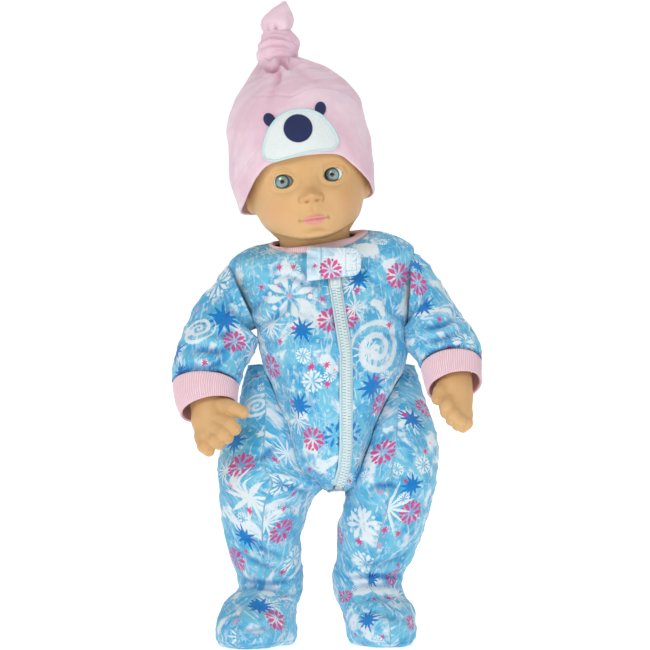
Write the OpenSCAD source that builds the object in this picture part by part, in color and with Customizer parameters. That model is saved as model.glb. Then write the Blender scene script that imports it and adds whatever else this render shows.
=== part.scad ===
// Soft-bodied baby doll in a footed zip sleeper and a knotted beanie.
// The doll faces -Y and stands on z = 0. Left and right are the doll's own: its left is +X.
// Soft shapes are skins over rings.
// A ring is [z, centre x, centre y, x radius, y radius, turn, roll, pitch, saddle].

/* [Head] */
// Lean of the head towards the doll's right shoulder
head_tilt = 8.2; // [6:0.2:10]
// Turn of the face towards the doll's left
face_turn = 2.5; // [0:0.5:4]
// Wall of the vinyl head and limbs
vinyl_wall = 2.5; // [2:0.1:3]
// Distance between the centres of the two eyes
eye_spacing = 33.5; // [32:0.5:34]
// Radius of an eyeball
eyeball_r = 9.5; // [9:0.1:9.6]

/* [Clothes] */
// Thickness of the fleece
fleece = 2.2; // [1.8:0.1:2.4]
// Thickness of the rib knit
rib = 1.8; // [1.4:0.1:2.2]
// Width of one zip tooth along the zip
tooth_pitch = 2.6; // [2.4:0.1:4]

/* [Voice unit] */
// Width of the case
case_w = 54; // [52:1:56]
// Height of the case
case_h = 60; // [60:1:62]
// Depth of the case
case_d = 26; // [25:1:27]
// Radius of the tummy button
button_r = 11; // [9:0.5:12]

/* [Hidden] */
$fn = 40;
gap = 0.4;
sides = 24;
head_sides = 28;

// Torso, outside of the sleeper
TORSO = [
    [101, 9.5, 0, 7, 9], [108, 8, -2, 15.5, 22], [120, 3.5, -3, 23.5, 32], [134, 4, -4, 27.5, 37],
    [148, 4.5, -5, 31, 40.5], [160, 4.5, -5.5, 36, 42.5], [172, 5.5, -6, 41, 43.5], [184, 6, -6, 46.5, 43.5],
    [196, 5.7, -6, 49.5, 43], [210, 4.2, -5, 51.2, 41.5], [225, 3, -3, 56.5, 37], [240, 0.8, -1, 61, 32.5],
    [250.5, -0.3, 0, 64.5, 30.5, 0, 3, 3, 0], [258.5, -1.5, 0, 63, 29.8, 0, 4, 5, 0.6],
    [264, -2.7, 0.5, 56.5, 29.4, 0, 5, 6.5, 1.2], [267.8, -3.6, 1.2, 46, 29, 0, 6, 7.5, 1.8],
    [269.3, -4.2, 1.8, 33.5, 28.4, 0, 7.5, 8.4, 2.3]
];
collar_low = [269.9, -4.2, 1.8, 33.3, 28.2, 0, 7.5, 8.4, 2.3];
collar_rise = 1.2;
ZIP_X = [[101, 8], [120, 13], [134, 14], [196, 14], [240, 7]];
zip_low = 108;
zip_top = 238;
zip_half = 2.6;

// Legs, outside of the fleece: the bootie ends where the thigh begins
LEG_RIGHT = [
    [0, -45.5, -15, 21.5, 36, -18], [2.4, -45.5, -15, 24.2, 38.8, -18], [8, -45.5, -15, 25.2, 40, -18],
    [16, -45.3, -15, 25, 39, -18], [24, -44, -12, 24.3, 35, -18], [31, -40.5, -7, 23.6, 29, -16],
    [38, -36, -2, 21, 24.5, -12], [46, -37, 0, 22, 24, -6], [56, -39.2, 1, 23.8, 25.5, 0],
    [68, -41, 1, 25.2, 27, 0], [77, -41.4, 1, 26.6, 28, 0]
];
THIGH_RIGHT = [
    [77.4, -41.4, 1, 26.6, 28], [88, -40.6, 1, 29, 29], [98, -40.4, 1, 30, 29.5], [109, -43, 1, 28.5, 29.5],
    [120, -47.3, 1, 24.3, 28.5], [134, -47.3, 1, 21, 27], [150, -46, 1, 16, 24], [165, -46.5, 2, 10.3, 19],
    [177, -48.5, 3, 5.8, 13], [186, -49, 3, 2.2, 6]
];
LEG_LEFT = [
    [0, 37.5, -8, 19.5, 32, 10], [2.4, 37.5, -8, 22, 34.8, 10], [8, 37.5, -8, 23, 36, 10],
    [16, 37, -8, 23.4, 35.5, 10], [24, 35, -6, 23.8, 32.5, 10], [31, 31, -2, 23.6, 28.5, 8],
    [38, 28.6, 1, 22.6, 25, 5], [46, 29, 3, 23.3, 25, 0], [56, 33, 3.5, 24.8, 26.5, 0],
    [68, 35.6, 4, 27.3, 28, 0], [77, 37.6, 4, 28.8, 28.5, 0]
];
THIGH_LEFT = [
    [77.4, 37.6, 4, 28.8, 28.5], [88, 41, 3, 28.8, 29], [98, 44.5, 3, 27.6, 29.5], [109, 50.5, 2, 24.3, 29.5],
    [120, 52.6, 2, 22.8, 28.5], [134, 54.6, 2, 20.8, 27], [150, 55.3, 2, 16.6, 24], [165, 57, 2, 9.6, 18],
    [177, 58, 3, 4.2, 12], [186, 58.6, 3, 1.6, 5]
];

// Sleeves: [centre, direction, radius across, radius front to back]. The first ring lies on the armhole.
armhole_right = [-56.2, 1, 232.4];
armhole_left = [57.8, 1, 236];
axis_right = [-cos(25), 0, -sin(25)];
axis_left = [cos(4), 0, -sin(4)];
SLEEVE_RIGHT = [
    [armhole_right + gap * axis_right, axis_right, 23.5, 22],
    [[-62.5, -1, 225.3], [-0.85, -0.1, -0.55], 22.8, 22.5],
    [[-68.2, -7, 212], [-0.42, -0.3, -0.86], 22.6, 22.3],
    [[-74, -14, 197], [-0.28, -0.42, -0.87], 23.8, 22.5],
    [[-78, -20, 184], [-0.15, -0.46, -0.88], 23.2, 22],
    [[-79.5, -24.5, 175.5], [-0.05, -0.48, -0.88], 22.6, 21.4]
];
SLEEVE_LEFT = [
    [armhole_left + gap * axis_left, axis_left, 27, 22.5], [[64.5, -1, 230.5], [0.93, -0.1, -0.36], 23, 22.5],
    [[72, -8, 217], [0.52, -0.35, -0.78], 19.4, 21.4], [[78.6, -15.5, 203.8], [0.3, -0.5, -0.82], 21, 21.4],
    [[82.6, -21.5, 194.3], [0.16, -0.54, -0.83], 21.2, 21], [[84, -25, 189], [0.1, -0.56, -0.83], 20.4, 20.4]
];
CUFF_RIGHT = [
    [[-79.6, -25.1, 174.4], [-0.05, -0.48, -0.88], 22.4, 21.2],
    [[-78.8, -30, 166], [0.12, -0.5, -0.87], 21, 20],
    [[-77.2, -34.5, 158.4], [0.2, -0.52, -0.85], 19.4, 18]
];
CUFF_LEFT = [
    [[84.1, -25.7, 188], [0.1, -0.56, -0.83], 20.2, 20.2],
    [[85, -30.5, 180.5], [0.16, -0.6, -0.79], 19.6, 19],
    [[86.3, -35.5, 173.5], [0.2, -0.62, -0.77], 18.6, 17.4]
];
ARM_RIGHT = [
    [[-62, 0, 227], [-0.85, -0.1, -0.55], 12, 12], [[-69, -6, 213], [-0.42, -0.3, -0.86], 15, 15],
    [[-74.5, -14, 197], [-0.28, -0.42, -0.87], 15, 14.5], [[-78.5, -22, 180], [-0.1, -0.48, -0.88], 14, 13.5],
    [[-77.5, -32, 163], [0.12, -0.5, -0.87], 11.5, 10.5], [[-76, -37, 155], [0.15, -0.5, -0.86], 12.5, 9.5]
];
ARM_LEFT = [
    [[64, 0, 231.5], [0.8, -0.15, -0.6], 12, 12], [[72, -7.5, 217.8], [0.5, -0.35, -0.8], 14, 14],
    [[78.4, -15.5, 204], [0.3, -0.5, -0.82], 14, 13.6], [[83, -23, 191], [0.14, -0.54, -0.83], 13, 12.5],
    [[85.5, -32, 178], [0.16, -0.6, -0.79], 11.2, 10.2], [[86.5, -37, 171], [0.1, -0.55, -0.83], 12, 9.4]
];
// Hands: pairs of [centre, radius] that one hull joins, palm first, then thumb and fingers
HAND_RIGHT = [
    [[[-76, -37, 156], 9.5], [[-72, -42, 146], 9]], [[[-80, -38, 150], 8.5], [[-78, -43, 142], 7.5]],
    [[[-66, -41, 160], 6.2], [[-59, -46, 158.5], 4.8]], [[[-59, -46, 158.5], 4.8], [[-55.5, -48, 157], 4.4]],
    [[[-68, -46, 150], 5.6], [[-61.5, -51, 146.5], 4.6]],
    [[[-72, -47, 144.5], 5.4], [[-67, -51.5, 141], 4.5]],
    [[[-76, -46, 140.5], 5.2], [[-72.5, -51, 137.5], 4.4]],
    [[[-81, -43, 139], 4.8], [[-79.5, -47, 132], 4.2]],
    [[[-79.5, -47, 132], 4.2], [[-76, -50.5, 131.5], 3.9]]
];
HAND_LEFT = [
    [[[86.5, -37, 172], 9.3], [[86.5, -42, 161], 8.4]], [[[90, -38, 165], 7.6], [[90.5, -43, 157], 7]],
    [[[79.5, -40, 174], 5.8], [[76.6, -45, 169], 4.6]], [[[76.6, -45, 169], 4.6], [[76.2, -47.5, 167], 4.2]],
    [[[82.5, -46, 163], 5.4], [[81.8, -51, 158.5], 4.6]],
    [[[86, -47, 157.5], 5.2], [[85.5, -51.5, 154], 4.5]],
    [[[89.5, -46, 154.5], 5], [[89, -51, 150.5], 4.3]],
    [[[93.3, -42.5, 154], 4.5], [[93.5, -47, 148.5], 3.9]],
    [[[93.5, -47, 148.5], 3.9], [[91, -50.3, 147.4], 3.6]]
];

// Head: its own frame stands on the neck, z along the leaning head
neck_base = [-5.7, 2, 262];
ball_drop = 8;
ball_r = 17;
spigot_r = 9;
HEAD = [
    [1.5, 0, 0, 23.5, 23.5], [12, 0, -0.3, 23.5, 23.6], [13.5, 0, -6, 24.4, 30.5], [17, 0, -6.2, 27.8, 35.6],
    [22, 0, -4.8, 32.3, 39.6], [30, 0, -2.4, 35.8, 42.8], [44, 0, -0.2, 40.3, 46.6], [57, 0, 1, 43.2, 48.6],
    [68, 0, 1, 44, 49], [80, 0, 1, 43.4, 48.6], [92, 0, 1, 39.6, 45.2], [102, 0, 1, 32.6, 38],
    [110, 0, 1, 22.6, 27.6], [114.5, 0, 1, 12, 15], [116, 0, 1, 4, 5]
];
eye_height = 50.3;
eye_depth = -31;
lid_r = 6.9;
lid_shift = 2.07;
socket_r = eyeball_r + gap + 0.9;
socket_front = 1.6;
pin_r = 1.2;
running_gap = 0.05;
hat_wide = 68;
hat_gap = 0.45;
BRIM = [[-1, 30], [-0.5, 31], [0, 34.5], [0.48, 42.5], [0.63, 49.5], [0.75, 56], [0.9, 64], [1, 65.8]];
HAT_RX = [
    [24, 46], [33, 46.2], [40, 47], [52, 48.2], [60, 48.7], [70, 48.5], [80, 47.6], [88, 46.7], [98, 44.9],
    [104, 42.2], [110, 38.1], [116, 32.1], [120, 27.8]
];
HAT_RY = [
    [24, 51.5], [40, 52.4], [55, 53.6], [68, 54], [82, 53],
    [96, 49.5], [106, 44.5], [114, 37], [120, 27]
];
hat_top = 120;
hat_cap = 123;

fleece_blue = "lightskyblue";
rib_pink = "pink";
skin_tone = "burlywood";
navy = "midnightblue";

// ---- Rings and skins ----
function unit(v) = v / norm(v);
function power(v, p) = sign(v) * pow(abs(v), p);
function item(s, i) = s[i] == undef ? 0 : s[i];
function column(rings, i) = [for (s = rings) [s[0], item(s, i)]];

// The point of ring s at angle a, moved in by inset
function ring_point(s, a, inset = 0) =
    let(u = max(s[3] - inset, 0.4) * cos(a),
        v = max(s[4] - inset, 0.4) * sin(a),
        x = u * cos(item(s, 6)),
        y = v * cos(item(s, 7)),
        z = u * sin(item(s, 6)) + v * sin(item(s, 7)) + item(s, 8) * cos(2 * a),
        t = item(s, 5))
    [s[1] + x * cos(t) - y * sin(t), s[2] + x * sin(t) + y * cos(t), s[0] + z];

function ring(s, inset = 0, count = sides) =
    [for (i = [0 : count - 1]) ring_point(s, 360 * i / count, inset)];

function rings_of(list, inset = 0, count = sides) =
    [for (s = list) ring(s, inset, count)];

function backwards(list) = [for (i = [len(list) - 1 : -1 : 0]) list[i]];
function raised(s, dz) = [s[0] + dz, s[1], s[2], s[3], s[4], item(s, 5), item(s, 6), item(s, 7), item(s, 8)];
function some(list, first, last) = [for (i = [first : last]) list[i]];

// A ring across a limb: s = [centre, direction, radius across, radius front to back]
function limb_ring(s, inset = 0, count = sides) =
    let(w = unit(s[1]),
        u = unit(cross([0, 1, 0], w)),
        v = cross(w, u))
    [for (i = [0 : count - 1])
        s[0] + (s[2] - inset) * cos(360 * i / count) * u + (s[3] - inset) * sin(360 * i / count) * v];

function limb_rings(list, inset = 0, count = sides) = [for (s = list) limb_ring(s, inset, count)];

// Triangles between each ring and the next
function side_faces(rings, spans) =
    let(n = len(rings[0]), m = len(rings))
    [for (k = [0 : spans - 1], i = [0 : n - 1])
        let(a = k * n + i,
            b = k * n + (i + 1) % n,
            c = ((k + 1) % m) * n + (i + 1) % n,
            d = ((k + 1) % m) * n + i)
        each [[a, d, c], [a, c, b]]];

// A closed solid over a stack of rings, or a tube wall when the stack runs out and back as a loop
module skin(rings, loop = false) {
    n = len(rings[0]);
    m = len(rings);
    caps = loop ? [] : [[for (i = [0 : n - 1]) i], [for (i = [n - 1 : -1 : 0]) (m - 1) * n + i]];
    polyhedron(
        points = [for (r = rings) each r],
        faces = concat(side_faces(rings, loop ? m : m - 1), caps)
    );
}

// A sheet with thickness: every ring is an outer arc followed by the inner arc backwards
module panel(rings) {
    n = len(rings[0]);
    top = (len(rings) - 1) * n;
    low_cap = [for (j = [0 : n / 2 - 2]) each [[j, j + 1, n - 2 - j], [j, n - 2 - j, n - 1 - j]]];
    top_cap = [for (f = low_cap) [top + f[2], top + f[1], top + f[0]]];
    polyhedron(
        points = [for (r = rings) each r],
        faces = concat(side_faces(rings, len(rings) - 1), low_cap, top_cap)
    );
}

function arc_ring(s, from, to, out, wall, count) =
    concat(
        [for (i = [0 : count]) ring_point(s, from + (to - from) * i / count, out)],
        [for (i = [count : -1 : 0]) ring_point(s, from + (to - from) * i / count, out + wall)]
    );

// ---- Head ----
module at_neck() {
    translate(neck_base) rotate([0, -head_tilt, 0]) children();
}

module at_face() {
    at_neck() rotate([0, 0, face_turn]) children();
}

module at_eye(side) {
    at_face() translate([side * eye_spacing / 2, eye_depth, eye_height]) children();
}

module lid_opening() {
    rotate([90, 0, 0]) intersection() {
        translate([0, -lid_shift, 0]) cylinder(r = lid_r, h = 30);
        translate([0, lid_shift, 0]) cylinder(r = lid_r, h = 30);
    }
}

module head_shell() {
    outer = rings_of(HEAD, 0, head_sides);
    inner = rings_of(some(HEAD, 0, 12), vinyl_wall, head_sides);
    color(skin_tone) at_face() difference() {
        union() {
            skin(concat(outer, [ring(raised(HEAD[13], -vinyl_wall), 2, head_sides)], backwards(inner)), true);
            translate([0, -43.5, 38]) sphere(r = 4.8);
            for (side = [-1, 1]) translate([side * 38.7, 3, 43]) sphere(r = 5.4);
        }
        for (side = [-1, 1]) translate([side * eye_spacing / 2, eye_depth, eye_height]) {
            sphere(r = eyeball_r + gap);
            lid_opening();
            intersection() {
                sphere(r = socket_r + running_gap);
                translate([0, 20 - socket_front - running_gap, 0]) cube([40, 40, 40], center = true);
            }
        }
        translate([0, 3, 43]) cube([74, 12, 12], center = true);
    }
}

module neck_flange() {
    color("white") at_neck() translate([0, 0, 3.4]) rotate_extrude()
        polygon([[spigot_r + running_gap, 0], [20.6, 0], [20.6, 6], [14, 8], [spigot_r + running_gap, 8]]);
}

module neck_ball() {
    color("gainsboro") at_neck() {
        difference() {
            translate([0, 0, -ball_drop]) sphere(r = ball_r, $fn = 64);
            translate([0, 0, 3 + 20]) cube([60, 60, 40], center = true);
            translate([0, 0, -ball_drop - 14 - 20]) cube([60, 60, 40], center = true);
        }
        translate([0, 0, 2.9]) cylinder(r = spigot_r, h = 10.1);
        translate([0, 0, 12.9]) cylinder(r = 6.5, h = 3.4);
    }
}

module neck_retainer() {
    color("gray") at_neck() translate([0, 0, 13.2]) difference() {
        cylinder(r = 12.5, h = 2);
        translate([0, 0, -1]) cylinder(r = 6.55, h = 4);
    }
}

module eye_socket(side) {
    color("ivory") at_eye(side) difference() {
        sphere(r = socket_r);
        sphere(r = eyeball_r + gap);
        translate([0, -20 - socket_front, 0]) cube([40, 40, 40], center = true);
        translate([0, 20 + 4, 0]) cube([40, 40, 40], center = true);
        rotate([0, 90, 0]) cylinder(r = pin_r + running_gap, h = 40, center = true);
        translate([0, 0, -10]) cube([8, 40, 20], center = true);
    }
}

module eyeball(side) {
    color("white") at_eye(side) difference() {
        sphere(r = eyeball_r);
        rotate([0, 90, 0]) cylinder(r = pin_r + 0.02, h = 40, center = true);
        translate([0, 0, -24.5]) cube([6.2, 6.2, 36], center = true);
    }
}

module eye_pins(side) {
    color("silver") at_eye(side) for (way = [-1, 1])
        translate([way * 7.8, 0, 0]) rotate([0, 90, 0]) cylinder(r = pin_r, h = 5.6, center = true);
}

module eye_weight(side) {
    color("dimgray") at_eye(side) {
        translate([0, 0, -9.5]) cube([5.6, 5.6, 5], center = true);
        translate([0, 0, -14]) sphere(r = 3.6);
    }
}

// ---- Hat: a knit tube closed at the top, straight inside below the widest part of the head ----
function hat_low(a) = lookup(-sin(a), BRIM);
function head_radius(z, i) = lookup(max(z, hat_wide), column(HEAD, i)) + hat_gap;

function hat_point(a, z, out) = [
    (lookup(z, HAT_RX) + out) * cos(a),
    1 + (lookup(z, HAT_RY) + out) * sin(a),
    z
];

function hat_lining(a, z) = [head_radius(z, 3) * cos(a), 1 + head_radius(z, 4) * sin(a), z];

function hat_outer_ring(f) = [for (i = [0 : head_sides - 1])
    let(a = 360 * i / head_sides, z = hat_low(a) + (hat_top - hat_low(a)) * f) hat_point(a, z, 0)];

function hat_side_ring(f) = [for (i = [0 : head_sides - 1])
    let(a = 360 * i / head_sides) hat_lining(a, hat_low(a) + (hat_wide - hat_low(a)) * f)];

function hat_dome_ring(z) = [for (i = [0 : head_sides - 1]) hat_lining(360 * i / head_sides, z)];

module hat_body() {
    outer = [for (f = [0, 0.16, 0.32, 0.46, 0.6, 0.72, 0.84, 0.93, 1]) hat_outer_ring(f)];
    inner = concat([for (f = [0, 0.5]) hat_side_ring(f)], [for (s = some(HEAD, 8, 13)) hat_dome_ring(s[0])]);
    crown = [for (i = [0 : head_sides - 1])
        [7 * cos(360 * i / head_sides), 1 + 8 * sin(360 * i / head_sides), hat_cap]];
    lining_crown = [for (i = [0 : head_sides - 1])
        [5 * cos(360 * i / head_sides), 1 + 6 * sin(360 * i / head_sides), 117.4]];
    color(rib_pink) at_face() skin(concat([lining_crown], backwards(inner), outer, [crown]));
}

KNOT = [
    [385.4, -30, 4, 11, 9], [390, -31, 4, 14, 12], [396, -31.4, 3.5, 14.6, 13], [402, -31, 3.5, 13.4, 12],
    [407, -31.4, 4, 9.5, 8.5], [411, -31.6, 4, 9, 7], [417, -31.4, 4.5, 11, 7.5], [422, -31, 5, 10, 7],
    [427, -29, 5, 6.5, 5], [430.8, -27.4, 5, 2.4, 2.2]
];

module hat_knot() {
    color(rib_pink) skin(rings_of(KNOT, 0, 20));
}

// A thin applique on the front of the hat: outline radii rx, rz about a centre, lying on the knit
function patch_point(centre, rx, rz, a, k, out) =
    let(x = centre[0] + rx * k * power(cos(a), 0.8),
        z = centre[1] + rz * k * power(sin(a), 0.8),
        share = x / (lookup(z, HAT_RX) + out))
    [x, 1 - (lookup(z, HAT_RY) + out) * sqrt(1 - share * share), z];

module hat_patch(centre, rx, rz, low, thick, count = 24) {
    steps = [0.06, 0.35, 0.7, 1];
    function patch_ring(k, out) =
        [for (i = [0 : count - 1]) patch_point(centre, rx, rz, 360 * i / count, k, out)];
    back = [for (k = steps) patch_ring(k, low)];
    front = [for (k = steps) patch_ring(k, low + thick)];
    at_face() skin(concat(back, backwards(front)));
}

module muzzle_patch() {
    color("white") hat_patch([-2.4, 81], 25, 14.6, 0.5, 1);
}

module nose_patch() {
    color(navy) hat_patch([-2.4, 84], 9.7, 9.7, 1.75, 0.8, 18);
}

module ear_patches() {
    color(navy) for (side = [-1, 1]) hat_patch([side * 18.5 - 2.6, 99], 3.9, 4.6, 0.5, 0.8, 14);
}

// ---- Neck in the body ----
module neck_socket() {
    color("whitesmoke") at_neck() difference() {
        translate([0, 0, -ball_drop - 9]) cylinder(r = 21, h = 13.2);
        translate([0, 0, -ball_drop]) sphere(r = ball_r + 0.2, $fn = 64);
        translate([0, 0, -ball_drop - 20]) cylinder(r = 12, h = 30);
    }
}

module neck_tie() {
    color("white") at_neck() translate([0, 0, -ball_drop - 7.4]) {
        rotate_extrude() translate([22.6, -1.2]) square([1, 2.4]);
        translate([-24.6, 0, 0]) cube([3.2, 4.4, 3.6], center = true);
    }
}

// ---- Body ----
module armhole_cuts(r) {
    translate(armhole_right) multmatrix(turned_to(axis_right)) cylinder(r = r, h = 60, center = true);
    translate(armhole_left) multmatrix(turned_to(axis_left)) cylinder(r = r, h = 60, center = true);
}

function turned_to(axis) =
    let(w = unit(axis), u = unit(cross([0, 1, 0], w)), v = cross(w, u))
    [[u[0], v[0], w[0], 0], [u[1], v[1], w[1], 0], [u[2], v[2], w[2], 0], [0, 0, 0, 1]];

// Moves a point of the torso to its own side of both armhole planes
function inside_armholes(p, depth) =
    let(r = (p - armhole_right) * axis_right + depth,
        l = (p - armhole_left) * axis_left + depth)
    r > 0 && p[2] > 205 ? [p[0] - r / axis_right[0], p[1], p[2]] :
    l > 0 && p[2] > 200 ? [p[0] - l / axis_left[0], p[1], p[2]] : p;

function cut_ring(points, depth) = [for (p = points) inside_armholes(p, depth)];

// A ring round the neck's own axis, rise above the neck base
function neck_ring(rise, r) = ring([
    neck_base[2] + rise * cos(head_tilt), neck_base[0] - rise * sin(head_tilt), neck_base[1],
    r, r, 0, head_tilt, 0
]);

module cloth_body() {
    outer = [for (s = some(TORSO, 1, 14)) cut_ring(ring(s, 3), 3)];
    inner = [for (s = some(TORSO, 2, 13)) cut_ring(ring(s, 4.4), 4.4)];
    neck = [
        ring([263.5, -4.4, 1.7, 29, 25.2, 0, 6, 7]),
        neck_ring(-4.4, 24.5), neck_ring(-12, 21.4), neck_ring(-17, 21.4)
    ];
    inner_neck = [ring([250.5, -3.9, 1.6, 28, 23.8, 0, 4, 4]), neck_ring(-12.5, 22.4), neck_ring(-17, 22.4)];
    color("mistyrose") skin(concat(outer, neck, backwards(inner_neck), backwards(inner)));
}

neck_pit = -24;

module body_filling() {
    rings = [for (s = some(TORSO, 2, 12)) cut_ring(ring(s, 5), 5.4)];
    color("white") difference() {
        skin(concat(rings, [ring([245, -2.4, 2, 26, 24])]));
        translate(case_centre) cube([case_w + 1, case_d + 1.6, case_h + 1], center = true);
        translate(case_centre) rotate([90, 0, 0]) cylinder(r = button_r + 1.4, h = 60);
        translate(case_centre + [0, 5, -12]) cube([26, case_d + 4, 12], center = true);
        at_neck() translate([0, 0, neck_pit]) cylinder(r = 28.5, h = 60);
    }
}

function zip_angle(s, shift) =
    360 - acos(max(-1, min(1, (lookup(s[0], ZIP_X) + shift - s[1]) / s[3])));

function back_arc(s) = cut_ring(arc_ring(s, 3, 177, 0, fleece, 20), gap);
function right_arc(s) = cut_ring(arc_ring(s, 183, zip_angle(s, -zip_half), 0, fleece, 12), gap);
function left_arc(s) = cut_ring(arc_ring(s, zip_angle(s, zip_half), 357, 0, fleece, 12), gap);

module sleeper_panel(rings) {
    color(fleece_blue) difference() {
        panel(rings);
        armhole_cuts(18);
    }
}

module sleeper_back() {
    sleeper_panel([for (s = TORSO) back_arc(s)]);
}

module sleeper_front_left() {
    sleeper_panel([for (s = some(TORSO, 1, 16)) left_arc(s)]);
}

module sleeper_front_right() {
    sleeper_panel([for (s = some(TORSO, 1, 16)) right_arc(s)]);
}

module collar_rib() {
    color(rib_pink) skin([
        ring(collar_low),
        ring(raised(collar_low, collar_rise)),
        ring(raised(collar_low, collar_rise), rib),
        ring(collar_low, rib)
    ], true);
}

// ---- Zip ----
function torso_front(x, z, inset = 0) =
    let(share = (x - lookup(z, column(TORSO, 1))) / (lookup(z, column(TORSO, 3)) - inset))
    [x, lookup(z, column(TORSO, 2)) - (lookup(z, column(TORSO, 4)) - inset) * sqrt(1 - share * share), z];

function zip_point(z, shift, inset = 0) = torso_front(lookup(z, ZIP_X) + shift, z, inset);

module zip_tape() {
    color("white") panel([for (z = [zip_low, 120, 134, 148, 160, 172, 184, 196, 210, 225, zip_top])
        concat([for (x = [-5 : 2.5 : 5]) zip_point(z, x, fleece + 0.12)],
            [for (x = [5 : -2.5 : -5]) zip_point(z, x, fleece + 0.68)])]);
}

module tooth(z, side) {
    translate(zip_point(z, side * 1.15) + [0, 0.5, 0]) cube([2, 1.8, tooth_pitch * 0.45], center = true);
}

module zip_teeth_left() {
    color("azure") for (z = [zip_low : tooth_pitch : zip_top - 4]) tooth(z, 1);
}

module zip_teeth_right() {
    color("azure") for (z = [zip_low + tooth_pitch / 2 : tooth_pitch : zip_top - 4]) tooth(z, -1);
}

module zip_stop() {
    color("silver") translate(zip_point(zip_low - 2.6, 0) + [0, 0.8, 0]) cube([4.6, 2, 2], center = true);
}

slide_top = zip_point(237, 0);
slide_low = zip_point(212, 0);
slide_axis = unit(slide_low - slide_top);
// How far the slider's middle stands in front of the zip, clear of the teeth all the way down
slider_stand = 4.6;

module zip_slider() {
    color("aliceblue") translate(slide_top - [0, slider_stand, 0]) multmatrix(turned_to(-slide_axis))
        cube([2, 6.6, 8.4], center = true);
}

// ---- Tab over the top of the zip ----
FLAP = [[246.4, -2, -1, 60, 37.5], [251, -2, -1, 60, 38], [258, -2, -1, 60, 37.8], [264.2, -2, -1, 60, 36.6]];
// Height and front radius of the loop patch's lower and upper edges, against the cloth behind the tab
LOOP_PATCH = [[249, 31.4], [255, 30.8]];
// The same for the hook patch, just inside the tab
HOOK_PATCH = [[248, 35.55], [254, 35.8]];
flap_from = 260.5;
flap_to = 295.5;

module tab_flap() {
    color(fleece_blue) panel([for (s = FLAP) arc_ring(s, flap_from, flap_to, 0, 2, 8)]);
}

module flap_hook_patch() {
    color("white") panel([for (p = HOOK_PATCH) arc_ring([p[0], -2, -1, 57.9, p[1]], 286, 294, 0, 0.6, 3)]);
}

module flap_loop_patch() {
    color("white") panel([for (p = LOOP_PATCH) arc_ring([p[0], -2, -1, 63, p[1]], 283, 292, 0, 0.6, 3)]);
}

// ---- Voice unit ----
case_centre = [5, -2, 190];
speaker_rise = 20;
case_wall = 1.8;
split_y = case_centre[1] - 2;
front_y = case_centre[1] - case_d / 2;
back_y = case_centre[1] + case_d / 2;
screw_x = case_w / 2 - 5.5;
screw_z = case_h / 2 - 5.5;

module case_half(y_low, y_high, open_low) {
    x = case_centre[0];
    z = case_centre[2];
    difference() {
        translate([x - case_w / 2, y_low, z - case_h / 2]) cube([case_w, y_high - y_low, case_h]);
        translate([x - case_w / 2 + case_wall, y_low + (open_low ? -1 : case_wall),
            z - case_h / 2 + case_wall])
            cube([case_w - 2 * case_wall, y_high - y_low - case_wall + 1, case_h - 2 * case_wall]);
    }
}

module screw_places() {
    for (sx = [-1, 1], sz = [-1, 1])
        translate([case_centre[0] + sx * screw_x, 0, case_centre[2] + sz * screw_z]) children();
}

module case_front() {
    color("white") difference() {
        union() {
            case_half(front_y, split_y, false);
            screw_places() translate([0, split_y, 0]) rotate([90, 0, 0])
                cylinder(r = 3.2, h = split_y - front_y - 0.5);
        }
        translate([case_centre[0], front_y - 1, case_centre[2]]) rotate([-90, 0, 0])
            cylinder(r = button_r + 0.35, h = 5);
        screw_places() translate([0, split_y + 1, 0]) rotate([90, 0, 0]) cylinder(r = 1.26, h = 8);
        for (dx = [-12 : 4 : 12]) translate([case_centre[0] + dx, front_y - 1, case_centre[2] + speaker_rise])
            rotate([-90, 0, 0]) cylinder(r = 1, h = 4);
    }
}

module case_back() {
    color("white") difference() {
        union() {
            case_half(split_y, back_y, true);
            screw_places() translate([0, back_y - 0.5, 0]) rotate([90, 0, 0])
                cylinder(r = 3.2, h = back_y - split_y - 0.5);
        }
        screw_places() translate([0, back_y + 1, 0]) rotate([90, 0, 0]) cylinder(r = 1.6, h = 40);
        screw_places() translate([0, back_y + 1, 0]) rotate([90, 0, 0]) cylinder(r = 2.8, h = 3.2);
        translate([case_centre[0], back_y, case_centre[2] - 5]) cube([34, 10, 36], center = true);
        translate([case_centre[0], back_y, case_centre[2] + 22]) cube([9.4, 10, 4.4], center = true);
    }
}

module battery_door() {
    color("gainsboro") translate([case_centre[0], back_y - case_wall / 2, case_centre[2] - 5])
        cube([33.4, case_wall, 35.4], center = true);
}

module case_screws() {
    color("silver") screw_places() {
        translate([0, back_y - 0.3, 0]) rotate([90, 0, 0]) cylinder(r = 2.4, h = 1.7);
        translate([0, back_y - 1.9, 0]) rotate([90, 0, 0]) cylinder(r = 1.24, h = back_y - split_y + 4);
    }
}

module speaker() {
    color("dimgray") translate([case_centre[0], 0, case_centre[2] + speaker_rise]) {
        translate([0, front_y + case_wall + 0.2, 0]) rotate([-90, 0, 0]) cylinder(r = 7.4, h = 2.4);
        translate([0, front_y + case_wall + 2.5, 0]) rotate([-90, 0, 0]) cylinder(r = 4.5, h = 2.6);
    }
}

module circuit_board() {
    color("seagreen") translate([case_centre[0], split_y - 0.6, case_centre[2] - 2]) {
        cube([case_w - 17, 1.2, case_h - 20], center = true);
        translate([14, -1.3, -14]) cube([7, 1.6, 7], center = true);
        translate([0, -1.4, 2]) cube([5, 1.8, 5], center = true);
    }
}

module batteries() {
    color("gold") for (k = [-1, 0, 1])
        translate([case_centre[0] + k * 10.6, split_y + 7.2, case_centre[2] - 5])
        cylinder(r = 5, h = 30, center = true);
}

module battery_contacts() {
    color("silver") for (k = [-1, 0, 1], end = [-1, 1])
        translate([case_centre[0] + k * 10.6, split_y + 7.2, case_centre[2] - 5 + end * 15.9])
            cube([6, 7, 0.8], center = true);
}

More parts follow.
